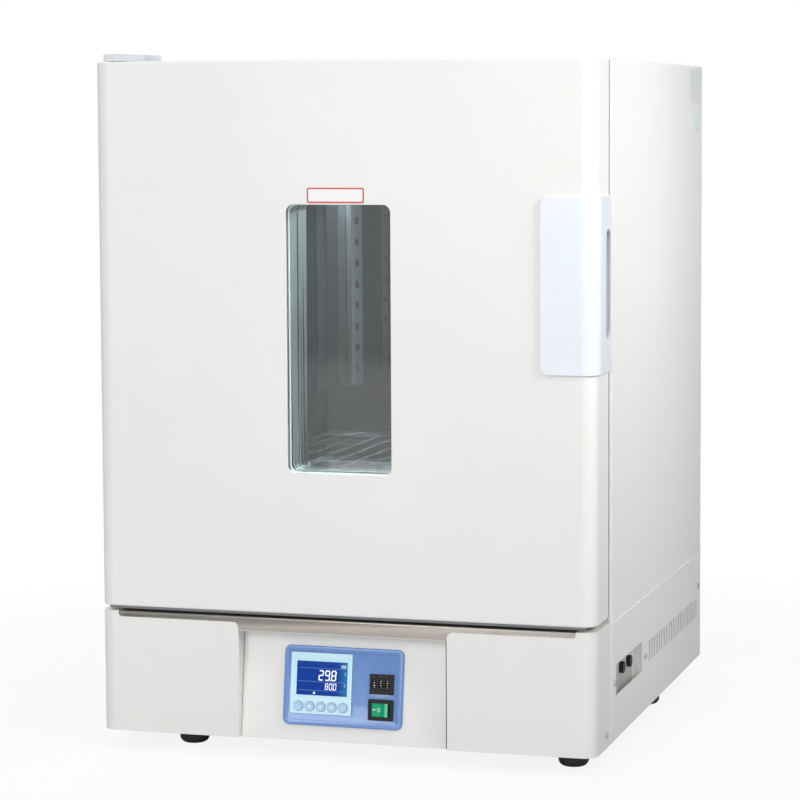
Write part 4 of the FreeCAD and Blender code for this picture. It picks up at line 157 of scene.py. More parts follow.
def colour_property(name, description, default):
    """A colour setting."""
    return FloatVectorProperty(name=name, description=description, default=default,
                               subtype="COLOR", size=3, min=0.0, max=1.0)


def length_property(name, description, default):
    """A length setting in metres."""
    return FloatProperty(name=name, description=description, default=default,
                         subtype="DISTANCE", unit="LENGTH", min=0.0)


def angle_property(name, description, degrees):
    """An angle setting, written in degrees."""
    return FloatProperty(name=name, description=description, default=math.radians(degrees),
                         subtype="ANGLE", unit="ROTATION")


def light_property(name, description, default):
    """The power of a lamp, or the strength of the surroundings."""
    return FloatProperty(name=name, description=description, default=default, min=0.0)


class PaintSettings(PropertyGroup):
    """The painted sheet metal and the mouldings that match it."""

    cabinet: colour_property("Cabinet", "Powder coat of the cabinet", display_colour(233, 232, 229))
    peel: length_property("Peel", "Width of one bump of the orange peel", 0.0024)
    peel_depth: length_property("Peel depth", "Height of the orange peel", 0.00007)
    handle: colour_property("Handle", "Door handle and hinge cap", display_colour(229, 235, 240))


class PanelSettings(PropertyGroup):
    """Colours of the control panel."""

    bezel: colour_property("Bezel", "Moulded surround", display_colour(104, 142, 204))
    controller: colour_property("Controller", "Film on the controller", display_colour(200, 236, 248))
    screen: colour_property("Screen", "Lit display", display_colour(2, 52, 151))
    screen_edge: colour_property("Screen edge", "Lit display at its right end", display_colour(40, 128, 180))
    key: colour_property("Key", "Round key caps", display_colour(172, 204, 236))
    # Painted shade: the rim colour darkens the rounded edge of each key cap.
    key_rim: colour_property("Key rim painted shade", "Rim of the key caps", display_colour(96, 124, 160))
    rocker: colour_property("Rocker", "Mains rocker", display_colour(4, 160, 112))
    # Painted light: the paler right end stands for the rocker face that is lit.
    rocker_end: colour_property("Rocker painted light", "Pale right end of the rocker", display_colour(112, 204, 162))
    mark: colour_property("Mark", "Digits and marks", display_colour(246, 248, 250))
    rule: colour_property("Rule", "Lines on the display", display_colour(120, 160, 214))
    figure_height: length_property("Figure height", "Height of the large figures", 0.0125)
    small_figure_height: length_property("Small figure height", "Height of the small figures", 0.0080)
    large_figures: StringProperty(name="Upper line", description="Figures on the upper line", default="29.8")
    small_figures: StringProperty(name="Lower line", description="Figures on the lower line", default="80.0")


class MetalSettings(PropertyGroup):
    """Bare metals."""

    steel: colour_property("Stainless", "Stainless sheet", (0.52, 0.48, 0.435))
    chamber_steel: colour_property("Chamber", "Bright sheet of the chamber", (0.37, 0.415, 0.44))
    zinc: colour_property("Zinc", "Plated steel", (0.62, 0.62, 0.60))
    chrome: colour_property("Chrome", "Shelf wire", (0.72, 0.73, 0.74))
    grain: length_property("Grain", "Width of one line of the brushed grain", 0.0006)


class StudioSettings(PropertyGroup):
    """Camera, lamps and floor."""

    focal: FloatProperty(name="Focal length", description="Lens of the camera", default=125.0,
                         subtype="DISTANCE_CAMERA", unit="CAMERA", min=1.0)
    yaw: angle_property("Yaw", "Turn of the camera to the left", 16.708)
    pitch: angle_property("Pitch", "Downward tilt of the camera", 4.82)
    roll: angle_property("Roll", "Roll of the camera", -0.297)
    rise: FloatProperty(name="Rise", description="Vertical shift of the lens, in picture widths",
                        default=-0.06)
    place: FloatVectorProperty(name="Place", description="Place of the camera", size=3,
                               default=(1.0096, -3.4445, 0.7682), subtype="TRANSLATION", unit="LENGTH")
    floor: colour_property("Floor", "Colour of the floor", (0.86, 0.86, 0.85))
    key_power: light_property("Key light", "Power of the large front lamp", 139.0)
    fill_power: light_property("Fill light", "Power of the side lamp", 3.5)
    top_power: light_property("Top light", "Power of the lamp above", 16.0)
    back_power: light_property("Back light", "Power of the lamp behind", 60.0)
    chamber_power: light_property("Chamber light", "Power of the small lamp under the chamber's top", 1.5)
    world: light_property("World light", "Strength of the pale surroundings", 0.40)


class Wire:
    """One output of a shader node, which can be used in arithmetic."""

    def __init__(self, graph, socket):
        self.graph = graph
        self.socket = socket

    def maths(self, operation, *values):
        """A Math node on the given values."""
        return self.graph.node("ShaderNodeMath", {"operation": operation}, dict(enumerate(values)))

    def __add__(self, other):
        return self.maths("ADD", self, other)

    __radd__ = __add__

    def __sub__(self, other):
        return self.maths("SUBTRACT", self, other)

    def __rsub__(self, other):
        return self.maths("SUBTRACT", other, self)

    def __mul__(self, other):
        return self.maths("MULTIPLY", self, other)

    __rmul__ = __mul__

    def __truediv__(self, other):
        return self.maths("DIVIDE", self, other)

    def __abs__(self):
        return self.maths("ABSOLUTE", self)

    def most(self, other):
        """The larger of two values."""
        return self.maths("MAXIMUM", self, other)

    def ramp(self, low, high):
        """0 below low, 1 above high, smooth between."""
        return self.graph.node("ShaderNodeMapRange", {"interpolation_type": "SMOOTHSTEP"},
                               {"Value": self, "From Min": low, "From Max": high})


class Graph:
    """A node tree while its nodes are put together."""

    def __init__(self, tree):
        self.tree = tree
        self.tree.nodes.clear()

    def node(self, kind, settings=None, inputs=None, output=0):
        """A node with its settings made first, then its sockets filled or linked."""
        made = self.tree.nodes.new(kind)
        for name, value in (settings or {}).items():
            setattr(made, name, value)
        for key, value in (inputs or {}).items():
            if isinstance(value, Wire):
                self.tree.links.new(value.socket, made.inputs[key])
            else:
                made.inputs[key].default_value = value
        return Wire(self, made.outputs[output] if len(made.outputs) else None)

    def seen_directly(self):
        """1 for rays from the camera, also through glass, and 0 for the light that falls on things."""
        return self.node("ShaderNodeLightPath", output="Is Camera Ray") \
            + self.node("ShaderNodeLightPath", output="Is Transmission Ray")


class Finish(Graph):
    """A material while its nodes are put together."""

    def __init__(self, name):
        self.material = bpy.data.materials.new(name)
        self.material.use_nodes = True
        super().__init__(self.material.node_tree)
        self.place = self.node("ShaderNodeTexCoord", output="Object")

    def noise(self, width, detail=2.0, rough=0.5, stretch=(1.0, 1.0, 1.0)):
        """Noise whose bumps are about width metres wide, longer where stretch is below 1."""
        place = self.place
        if stretch != (1.0, 1.0, 1.0):
            place = self.node("ShaderNodeMapping", {}, {"Vector": place, "Scale": stretch})
        return self.node("ShaderNodeTexNoise", {}, {
            "Vector": place, "Scale": 1 / width, "Detail": detail, "Roughness": rough})

    def cells(self, width):
        """Random value of each cell of a mosaic with cells about width metres wide."""
        cell = self.node("ShaderNodeTexVoronoi", {}, {"Vector": self.place, "Scale": 1 / width}, "Color")
        return self.node("ShaderNodeSeparateXYZ", {}, {"Vector": cell})

    def axis(self, name):
        """One coordinate of the place on the object, in metres."""
        return self.node("ShaderNodeSeparateXYZ", {}, {"Vector": self.place}, name)

    def mix(self, factor, first, second):
        """Colour between first and second."""
        ends = [value if isinstance(value, Wire) else (*value, 1.0) for value in (first, second)]
        return self.node("ShaderNodeMix", {"data_type": "RGBA"}, {0: factor, 6: ends[0], 7: ends[1]}, 2)

    def bump(self, height, depth, strength=1.0):
        """Normal of a surface raised by height times depth metres."""
        return self.node("ShaderNodeBump", {}, {"Height": height, "Distance": depth, "Strength": strength})

    def surface(self, base, rough, **sockets):
        """The material as a Principled shader with the given sockets."""
        inputs = {"Base Color": base if isinstance(base, Wire) else (*base, 1.0), "Roughness": rough}
        inputs.update({key.replace("_", " "): value for key, value in sockets.items()})
        return self.finished(self.node("ShaderNodeBsdfPrincipled", {}, inputs))

    def finished(self, shader):
        """The material, with a shader linked to its output."""
        self.node("ShaderNodeOutputMaterial", {}, {"Surface": shader})
        return self.material


def shaded(colour, amount):
    """A colour made darker or lighter."""
    return tuple(min(1.0, part * amount) for part in colour)


def powder_coat(name, colour, settings, gloss=0.36):
    """Baked powder coat: orange peel, slight clouds of tone, a little dust near the floor."""
    finish = Finish(name)
    peel = finish.noise(settings.peel, 2.0, 0.45)
    grain = finish.noise(0.0007, 1.0)
    cloud = finish.noise(0.22, 3.0)
    scuff = finish.noise(0.012, 4.0, 0.6, (0.25, 1.0, 1.0)).ramp(0.66, 0.80)
    dust = (1 - finish.axis("Z").ramp(0.02, 0.09)) * finish.noise(0.02, 3.0) * 0.5
    base = finish.mix(cloud.ramp(0.25, 0.75), shaded(colour, 0.975), shaded(colour, 1.0))
    base = finish.mix(scuff * 0.10 + dust * 0.25, base, shaded(colour, 0.80))
    rough = gloss + peel * 0.10 + scuff * 0.12 + dust * 0.2
    return finish.surface(base, rough, Normal=finish.bump(peel + grain * 0.15, settings.peel_depth))


def recess_paint(name, colour):
    """Inside of the recess darkened to grey as painted shade; its rear wall made lighter than the pale
    cabinet colour as painted light.
    """
    finish = Finish(name)
    # painted light: the rear wall, which faces the front, is made lighter than the cabinet colour
    wall = finish.axis("Y").ramp(-0.0675, -0.0662)
    peel = finish.noise(0.0016, 2.0, 0.45)
    cloud = finish.noise(0.05, 3.0)
    # painted shade: the inside of the recess is darkened
    grey = finish.mix(cloud.ramp(0.25, 0.75), shaded(colour, 0.58), shaded(colour, 0.64))
    return finish.surface(finish.mix(wall, grey, shaded(colour, 1.15)), 0.42 + peel * 0.1,
                          Normal=finish.bump(peel, 0.00001))


def brushed_steel(name, colour, stretch, rough, settings, smear=0.10):
    """Stainless sheet with a directional grain, faint smears and fine scratches."""
    finish = Finish(name)
    grain = finish.noise(settings.grain, 3.0, 0.6, stretch)
    smears = finish.noise(0.06, 3.0, 0.6)
    longer = tuple(0.06 if part < 1 else part for part in stretch)
    scratch = finish.noise(0.0016, 2.0, 0.5, longer).ramp(0.70, 0.76)
    base = finish.mix(grain.ramp(0.3, 0.7), shaded(colour, 0.86), shaded(colour, 1.06))
    base = finish.mix(smears.ramp(0.45, 0.75) * 0.35, base, shaded(colour, 0.80))
    gloss = rough + grain * 0.12 + smears.ramp(0.4, 0.8) * smear + scratch * 0.1
    return finish.surface(base, gloss, Metallic=1.0, Normal=finish.bump(grain + scratch * 0.5, 0.00001, 0.6))


def mirror_sheet(name, colour, settings):
    """Bright rolled sheet that bulges slightly, so what it mirrors is bent."""
    finish = Finish(name)
    grain = finish.noise(settings.grain, 2.0, 0.6, (1.0, 1.0, 0.02))
    bulge = finish.noise(0.30, 1.0, 0.4, (1.0, 1.0, 0.6))
    smears = finish.noise(0.05, 3.0, 0.6).ramp(0.45, 0.8)
    base = finish.mix(smears * 0.3, colour, shaded(colour, 0.85))
    return finish.surface(base, 0.015 + grain * 0.02 + smears * 0.03, Metallic=1.0,
                          Normal=finish.bump(bulge + grain * 0.0015, 0.0012, 0.6))


def duct_sheet(name, colour):
    """Sheet of the side ducts in bands of painted reflection and shade: painted light along both rows of
    slots, painted shade between them and on the flange, a painted highlight and a painted dark line on its
    bevel, a paler painted reflection past that line.
    """
    finish = Finish(name)
    y = finish.axis("Y")
    # painted light and shade: these bands stand for what the bright sheet mirrors
    painted_lit_mouth = 1 - y.ramp(-0.080, -0.075)
    rear = y.ramp(0.016, 0.020)
    bevel = y.ramp(0.054, 0.056)
    painted_dark_line = 1 - abs(y - 0.0785).ramp(0.0006, 0.0012)
    painted_reflection_band = y.ramp(0.0790, 0.0800)
    painted_shade_flange = y.ramp(0.0900, 0.0930)
    grain = finish.noise(0.0008, 3.0, 0.6, (1.0, 1.0, 0.03))
    smears = finish.noise(0.06, 3.0)
    # painted light along the slots over painted shade, then a painted highlight, a painted reflection,
    # painted shade on the flange and a painted dark line
    base = finish.mix(rear + painted_lit_mouth, shaded(colour, 0.45), shaded(colour, 2.0))
    base = finish.mix(bevel, base, (0.95, 1.0, 0.97))
    base = finish.mix(painted_reflection_band, base, shaded(colour, 1.3))
    base = finish.mix(painted_shade_flange, base, shaded(colour, 0.45))
    base = finish.mix(painted_dark_line, base, shaded(colour, 0.2))
    base = finish.mix(grain * 0.2 + smears.ramp(0.4, 0.8) * 0.2, base, shaded(colour, 0.7))
    return finish.surface(base, 0.14 + (rear + painted_lit_mouth) * 0.22 + grain * 0.06, Metallic=1.0,
                          Normal=finish.bump(grain, 0.00001, 0.6))


def window_lining(name, colour):
    """Drawn lining of the window: bright and dull streaks that run round the opening; the bright ones are
    lighter than bare metal, drawn grain with painted reflection.
    """
    finish = Finish(name)
    streak = finish.noise(0.009, 2.0, 0.6, (0.02, 1.0, 0.02))
    fine = finish.noise(0.0015, 2.0, 0.6, (0.02, 1.0, 0.02))
    bright = streak.ramp(0.36, 0.52)
    # painted reflection: the bright streaks reach 2.4 times the metal colour
    base = finish.mix(bright, shaded(colour, 1.0), shaded(colour, 2.4))
    base = finish.mix(fine * 0.3, base, shaded(colour, 0.8))
    return finish.surface(base, 0.14 + bright * 0.34 + fine * 0.05, Metallic=1.0,
                          Normal=finish.bump(streak + fine * 0.3, 0.0002, 0.5))


def plated(name, colour):
    """Zinc plate with a faint spangle."""
    finish = Finish(name)
    spangle = finish.cells(0.004)
    mottle = finish.noise(0.0015, 3.0)
    base = finish.mix(spangle * 0.6 + mottle * 0.4, shaded(colour, 0.82), shaded(colour, 1.06))
    return finish.surface(base, 0.26 + spangle * 0.10 + mottle * 0.10, Metallic=1.0,
                          Normal=finish.bump(mottle, 0.00002, 0.5))


def bright_wire(name, colour):
    """Chrome plate with small pits and a duller film in patches."""
    finish = Finish(name)
    film = finish.noise(0.03, 3.0)
    pits = finish.noise(0.0012, 2.0).ramp(0.68, 0.78)
    base = finish.mix(film.ramp(0.4, 0.7) * 0.3 + pits * 0.4, colour, shaded(colour, 0.6))
    return finish.surface(base, 0.12 + film * 0.12 + pits * 0.3, Metallic=1.0,
                          Normal=finish.bump(pits, 0.00003))


def moulded(name, colour, rough, texture=0.0006, depth=0.00002, tone=0.94, **sockets):
    """Injection moulding: fine spark texture, slight flow marks."""
    finish = Finish(name)
    spark = finish.noise(texture, 2.0)
    flow = finish.noise(0.035, 3.0, 0.5, (1.0, 1.0, 0.4))
    base = finish.mix(flow.ramp(0.3, 0.7) * 0.7 + spark * 0.3, shaded(colour, tone), colour)
    return finish.surface(base, rough + spark * 0.08 + flow * 0.05,
                          Normal=finish.bump(spark, depth, 0.7), **sockets)


def rocker_plastic(name, colour, pale):
    """Glossy rocker plastic with a paler band at its right end, painted light standing for the lit face of
    the rocker.
    """
    finish = Finish(name)
    # painted light: the right end is paler where the rocker's face tips towards the lamp
    band = (finish.axis("X") - ROCKER_MIDDLE[0]).ramp(0.0054, 0.0058)
    flow = finish.noise(0.006, 3.0)
    base = finish.mix(band, finish.mix(flow, shaded(colour, 0.92), colour), pale)
    return finish.surface(base, 0.30 + flow * 0.06, Specular_IOR_Level=0.2)


def wool(name):
    """Yellow-grey mineral wool with lying fibres."""
    finish = Finish(name)
    fibres = finish.noise(0.0011, 4.0, 0.7, (0.3, 0.3, 1.0))
    tufts = finish.noise(0.018, 4.0, 0.6)
    base = finish.mix(tufts, (0.30, 0.26, 0.16), (0.62, 0.56, 0.38))
    base = finish.mix(fibres.ramp(0.35, 0.65) * 0.6, base, (0.72, 0.68, 0.52))
    return finish.surface(base, 0.92 + fibres * 0.05, Normal=finish.bump(fibres + tufts, 0.0008))


def elastic(name, colour, rough, width):
    """Rubber or silicone: matt, with a fine skin and a dusty bloom."""
    finish = Finish(name)
    skin = finish.noise(width, 3.0)
    bloom = finish.noise(0.012, 3.0, 0.6).ramp(0.5, 0.8)
    base = finish.mix(bloom * 0.5, colour, tuple(part * 0.8 + 0.03 for part in colour))
    return finish.surface(base, rough + skin * 0.12 + bloom * 0.1, Normal=finish.bump(skin, 0.00005))


def window_pane(name):
    """Toughened glass that lets the lamps through, with faint wipe marks."""
    finish = Finish(name)
    wipes = finish.noise(0.03, 4.0, 0.6, (1.0, 1.0, 0.3)).ramp(0.5, 0.9)
    glass = finish.node("ShaderNodeBsdfPrincipled", {}, {
        "Base Color": (0.90, 0.93, 0.93, 1.0), "Roughness": wipes * 0.03, "IOR": 1.5,
        "Transmission Weight": 1.0})
    clear = finish.node("ShaderNodeBsdfTransparent", {}, {"Color": (0.93, 0.97, 0.96, 1.0)})
    shadow = finish.node("ShaderNodeLightPath", output="Is Shadow Ray")
    return finish.finished(finish.node("ShaderNodeMixShader", {}, {0: shadow, 1: glass, 2: clear}))


def heat_steel(name):
    """Heater sheath with the blue and straw tints of heat."""
    finish = Finish(name)
    tint = finish.noise(0.05, 3.0)
    base = finish.mix(tint.ramp(0.3, 0.7), (0.10, 0.10, 0.12), (0.26, 0.19, 0.12))
    return finish.surface(base, 0.45 + tint * 0.2, Metallic=1.0,
                          Normal=finish.bump(finish.noise(0.0009, 3.0), 0.00004))


def cast_alloy(name, colour, rough=0.42):
    """Die-cast or pressed alloy with a grainy skin."""
    finish = Finish(name)
    skin = finish.noise(0.0014, 4.0, 0.6)
    stain = finish.noise(0.02, 3.0)
    base = finish.mix(stain.ramp(0.3, 0.75), colour, shaded(colour, 0.75))
    return finish.surface(base, rough + skin * 0.15, Metallic=1.0, Normal=finish.bump(skin, 0.00006))


def panel_axes(finish):
    """Place on the slanted panel: x across it and s up its slope, in metres."""
    up = (0.0, math.sin(PANEL_TILT), math.cos(PANEL_TILT))
    shift = Vector(up).dot(PANEL_FOOT)
    slope = finish.node("ShaderNodeVectorMath", {"operation": "DOT_PRODUCT"},
                        {0: finish.place, 1: up}, "Value")
    return finish.axis("X"), slope - shift


def lit_screen(name, settings):
    """Blue display behind a glossy window, paler at its right end, with a fine dot grid."""
    finish = Finish(name)
    x, s = panel_axes(finish)
    glow = x.ramp(-0.012, 0.004) * 0.75 + s.ramp(0.09, 0.098) * 0.15
    dots = finish.noise(0.00045, 1.0)
    lit = finish.mix(glow + dots * 0.08, tuple(settings.screen), tuple(settings.screen_edge))
    unlit = finish.mix(0.08, (0.0, 0.0, 0.0), lit)
    return finish.surface(unlit, 0.34 + finish.noise(0.02, 3.0) * 0.06, Specular_IOR_Level=0.1,
                          Emission_Color=lit, Emission_Strength=0.92)


def printed_film(name, settings):
    """Pale film over the controller with a pressed line round the display, darkened as painted shade."""
    finish = Finish(name)
    x, s = panel_axes(finish)
    left, right, low, high = SCREEN
    across = abs(x - (left + right) / 2) - (right - left) / 2
    along = abs(s - (low + high) / 2) - (high - low) / 2
    ring = 1 - (abs(across.most(along) - 0.0022) / 0.0005).ramp(0.0, 1.0)
    film = finish.noise(0.0007, 2.0)
    pale = tuple(settings.controller)
    # painted shade: the pressed line is darkened
    base = finish.mix(ring * 0.45 + film * 0.05, pale, shaded(pale, 0.62))
    return finish.surface(base, 0.30 + film * 0.08, Normal=finish.bump(film * 0.1 - ring, 0.0001))


def plain_print(name, colour, rough=0.4, glow=0.0):
    """Printed ink or a lit segment, a little uneven; glow makes it shine, which is painted light where the
    print is not lit.
    """
    finish = Finish(name)
    ink = finish.noise(0.0006, 2.0)
    base = finish.mix(ink, shaded(colour, 0.93), colour)
    return finish.surface(base, rough + ink * 0.1, Emission_Color=base, Emission_Strength=glow)


def studio_floor(name, colour):
    """Pale floor that fades to the white of the surroundings and keeps the object's shadow."""
    finish = Finish(name)
    tone = finish.noise(0.8, 3.0)
    base = finish.mix(tone, shaded(colour, 0.99), colour)
    seen = finish.seen_directly()
    base = finish.mix(seen, shaded(colour, 0.68), base)
    matt = finish.node("ShaderNodeBsdfPrincipled", {}, {"Base Color": base, "Roughness": 0.8 + tone * 0.05})
    reach = finish.node("ShaderNodeVectorMath", {"operation": "LENGTH"}, {0: finish.place}, "Value")
    white = finish.node("ShaderNodeEmission", {}, {"Color": (1.0, 1.0, 1.0, 1.0), "Strength": 1.0})
    share = seen * (0.87 + reach.ramp(0.5, 1.3) * 0.13)
    return finish.finished(finish.node("ShaderNodeMixShader", {}, {0: share, 1: matt, 2: white}))


def deselect():
    """Leave edit mode and select nothing."""
    if bpy.context.object and bpy.context.object.mode != "OBJECT":
        bpy.ops.object.mode_set(mode="OBJECT")
    bpy.ops.object.select_all(action="DESELECT")


def take(name):
    """The object that was just added, named, with its place in its mesh."""
    piece = bpy.context.active_object
    piece.name = name
    piece.data.name = name
    bpy.ops.object.transform_apply(location=True, rotation=True, scale=True)
    return piece


def add_block(name, low, high):
    """Block between two corners."""
    deselect()
    low, high = Vector(low), Vector(high)
    bpy.ops.mesh.primitive_cube_add(size=1.0, location=(low + high) / 2, scale=high - low)
    return take(name)


def add_disc(name, radius, depth, sides=32, place=(0.0, 0.0, 0.0)):
    """Short round bar along Y, its front at the lower Y."""
    deselect()
    bpy.ops.mesh.primitive_cylinder_add(vertices=sides, radius=radius, depth=depth, location=place,
                                        rotation=(math.pi / 2, 0.0, 0.0))
    return take(name)


def edit(piece, element, choose):
    """Enter edit mode on a piece with the chosen faces or edges selected."""
    deselect()
    bpy.context.view_layer.objects.active = piece
    piece.select_set(True)
    bpy.ops.object.mode_set(mode="EDIT")
    bpy.ops.mesh.select_mode(type=element)
    bpy.ops.mesh.select_all(action="DESELECT")
    shape = bmesh.from_edit_mesh(piece.data)
    for part in (shape.faces if element == "FACE" else shape.edges):
        if choose(part):
            part.select_set(True)
    bmesh.update_edit_mesh(piece.data)


def middle(edge):
    """Middle of an edge."""
    return (edge.verts[0].co + edge.verts[1].co) / 2


def runs_along(edge, axis, least=1e-6):
    """True for an edge whose ends lie more than least apart along axis 0, 1 or 2."""
    return abs(edge.verts[0].co[axis] - edge.verts[1].co[axis]) > least


def faces_front(face):
    """True for a face that looks towards -Y."""
    return face.normal.y < -0.9


def done():
    """Leave edit mode."""
    bpy.ops.object.mode_set(mode="OBJECT")


def round_edges(piece, choose, width, segments, clamp=False):
    """Round the chosen edges of a piece."""
    edit(piece, "EDGE", choose)
    bpy.ops.mesh.bevel(offset=width, segments=segments, affect="EDGES", clamp_overlap=clamp)
    done()


def inset_faces(piece, choose, *steps):
    """Inset the chosen faces once for each step of thickness and depth."""
    edit(piece, "FACE", choose)
    for thickness, depth in steps:
        bpy.ops.mesh.inset(thickness=thickness, depth=depth)
    done()


def move_faces(piece, choose, offset):
    """Move the chosen faces of a piece."""
    edit(piece, "FACE", choose)
    bpy.ops.transform.translate(value=offset)
    done()


def copy_to(piece, name, place):
    """Copy of a piece with its own mesh, moved by a matrix."""
    twin = piece.copy()
    twin.data = piece.data.copy()
    twin.name = name
    twin.data.name = name
    twin.data.transform(place)
    bpy.context.scene.collection.objects.link(twin)
    return twin


def join(name, pieces):
    """One piece made of several."""
    deselect()
    for piece in pieces:
        piece.select_set(True)
    bpy.context.view_layer.objects.active = pieces[0]
    bpy.ops.object.join()
    pieces[0].name = name
    pieces[0].data.name = name
    return pieces[0]


def put_on(piece, place):
    """Move a piece's mesh by a matrix."""
    piece.data.transform(place)
    piece.data.update()
    return piece


def paint(piece, *materials):
    """Give a piece its materials."""
    piece.data.materials.clear()
    for material in materials:
        piece.data.materials.append(material)


def dress(material, *nodes):
    """Give CAD nodes a finish."""
    for name in nodes:
        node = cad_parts[name]
        if not node.material_slots:
            node.data.materials.append(material)
        for slot in node.material_slots:
            slot.material = material


def smooth(piece, angle=35.0):
    """Smooth shading between faces that meet at less than angle degrees."""
    deselect()
    bpy.context.view_layer.objects.active = piece
    piece.select_set(True)
    bpy.ops.object.shade_smooth_by_angle(angle=math.radians(angle))


def merged_copy(node, name):
    """Copy of a CAD node with its loose triangles merged into whole faces."""
    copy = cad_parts[node].copy()
    copy.data = copy.data.copy()
    copy.parent = None
    for key in list(copy.keys()):
        del copy[key]
    copy.name = name
    copy.data.name = name
    bpy.context.scene.collection.objects.link(copy)
    edit(copy, "FACE", lambda face: True)
    bpy.ops.mesh.remove_doubles(threshold=1e-6)
    bpy.ops.mesh.dissolve_limited(angle_limit=math.radians(1.0))
    done()
    return copy


def softened(node, name, width, lowest=-1.0):
    """Copy of a CAD node whose hard edges above the lowest height are rounded."""
    copy = merged_copy(node, name)
    round_edges(copy, lambda edge: edge.is_manifold and middle(edge).z > lowest
                and edge.calc_face_angle() > math.radians(40.0), width, 2, clamp=True)
    smooth(copy, 50.0)
    return copy


def cut_out(piece, cutter):
    """Cut one piece out of another and remove the cutter."""
    cut = piece.modifiers.new("cut", "BOOLEAN")
    cut.operation = "DIFFERENCE"
    cut.object = cutter
    deselect()
    bpy.context.view_layer.objects.active = piece
    bpy.ops.object.modifier_apply(modifier=cut.name)
    bpy.data.objects.remove(cutter)


# Share of a stroke's width left at its tips, and the strokes that make each figure
SEGMENT_TIP = 0.12
SEGMENTS = {
    "0": "abcdef", "1": "bc", "2": "abged", "3": "abgcd", "4": "fgbc", "5": "afgcd",
    "6": "afgedc", "7": "abc", "8": "abcdefg", "9": "abcdfg", "C": "afed",
}


def segment_bar(length, width, thickness):
    """One bar of a seven-segment figure, pointed at both ends, lying along X."""
    bar = add_block("segment", (-length / 2, -thickness, -width / 2), (length / 2, 0.0, width / 2))
    for side in (-1, 1):
        edit(bar, "FACE", lambda face: face.normal.x * side > 0.9)
        bpy.ops.transform.resize(value=(1.0, 1.0, SEGMENT_TIP))
        done()
    edit(bar, "EDGE", lambda edge: runs_along(edge, 0, length * 0.5))
    bpy.ops.mesh.subdivide(number_cuts=2)
    done()
    edit(bar, "EDGE", lambda edge: abs(middle(edge).x) < length * 0.3 and not runs_along(edge, 0))
    bpy.ops.transform.resize(value=(2.3, 1.0, 1 / SEGMENT_TIP))
    done()
    return bar


def figures(name, text, height, left, foot):
    """A line of seven-segment figures whose first one starts at left and stands on foot."""
    width = height * 0.50
    stroke = height * 0.108
    half = height / 2 - stroke / 2
    bar = segment_bar(width - stroke * 0.9, stroke, 0.0002)
    upright = copy_to(bar, "upright", Matrix.Rotation(math.pi / 2, 4, "Y"))
    put_on(upright, Matrix.Diagonal((1.0, 1.0, (half - stroke * 0.25) / (width - stroke * 0.9), 1.0)))
    side = width / 2 - stroke / 2
    spots = {
        "a": (bar, 0.0, 2 * half), "g": (bar, 0.0, half), "d": (bar, 0.0, 0.0),
        "b": (upright, side, 1.5 * half), "c": (upright, side, half / 2),
        "e": (upright, -side, half / 2), "f": (upright, -side, 1.5 * half),
    }
    lean = Matrix.Identity(4)
    lean[0][2] = 0.06
    cursor = left + width / 2
    made = []
    for mark in text:
        if mark == ".":
            x = cursor - width * 0.62
            point = add_block("point", (x - stroke / 2, -0.0002, 0.0), (x + stroke / 2, 0.0, stroke))
            made.append(put_on(point, Matrix.Translation((0.0, 0.0, foot))))
            continue
        for letter in SEGMENTS[mark]:
            source, x, z = spots[letter]
            middle_line = Matrix.Translation((cursor, 0.0, foot + stroke / 2))
            made.append(copy_to(source, "stroke", middle_line @ lean @ Matrix.Translation((x, 0.0, z))))
        cursor += width * 1.28
    for source in (bar, upright):
        bpy.data.objects.remove(source)
    return join(name, made)


def triangle_mark(name, size, turn):
    """Small raised triangle, pointing up before it is turned about the panel's normal."""
    deselect()
    bpy.ops.mesh.primitive_cylinder_add(vertices=3, radius=size, depth=0.0002,
                                        rotation=(math.pi / 2, 0.0, 0.0))
    mark = take(name)
    tips = [corner.co for corner in mark.data.vertices]
    top = max(tips, key=lambda co: co.z)
    start = math.atan2(top.x, top.z)
    return put_on(mark, Matrix.Rotation(turn - start, 4, "Y"))


class OVEN_OT_sheetwork(Operator):
    """Paint the cabinet, its base and the door"""

    bl_idname = "oven.sheetwork"
    bl_label = "Painted sheet"

    def execute(self, context):
        settings = context.scene.oven_paint
        colour = tuple(settings.cabinet)
        dress(powder_coat("Cabinet powder coat", colour, settings),
              "outer_case", "front_frame", "rear_cover", "door_skin")
        dress(powder_coat("Base powder coat", shaded(colour, 0.985), settings, 0.38),
              "base_fascia", "base_side_left", "base_side_right", "base_tray", "control_panel")
        # The recess pan gets painted shade inside and painted light on its rear wall.
        dress(recess_paint("Recess painted shade and light", colour), "side_recess_pan")
        return {"FINISHED"}


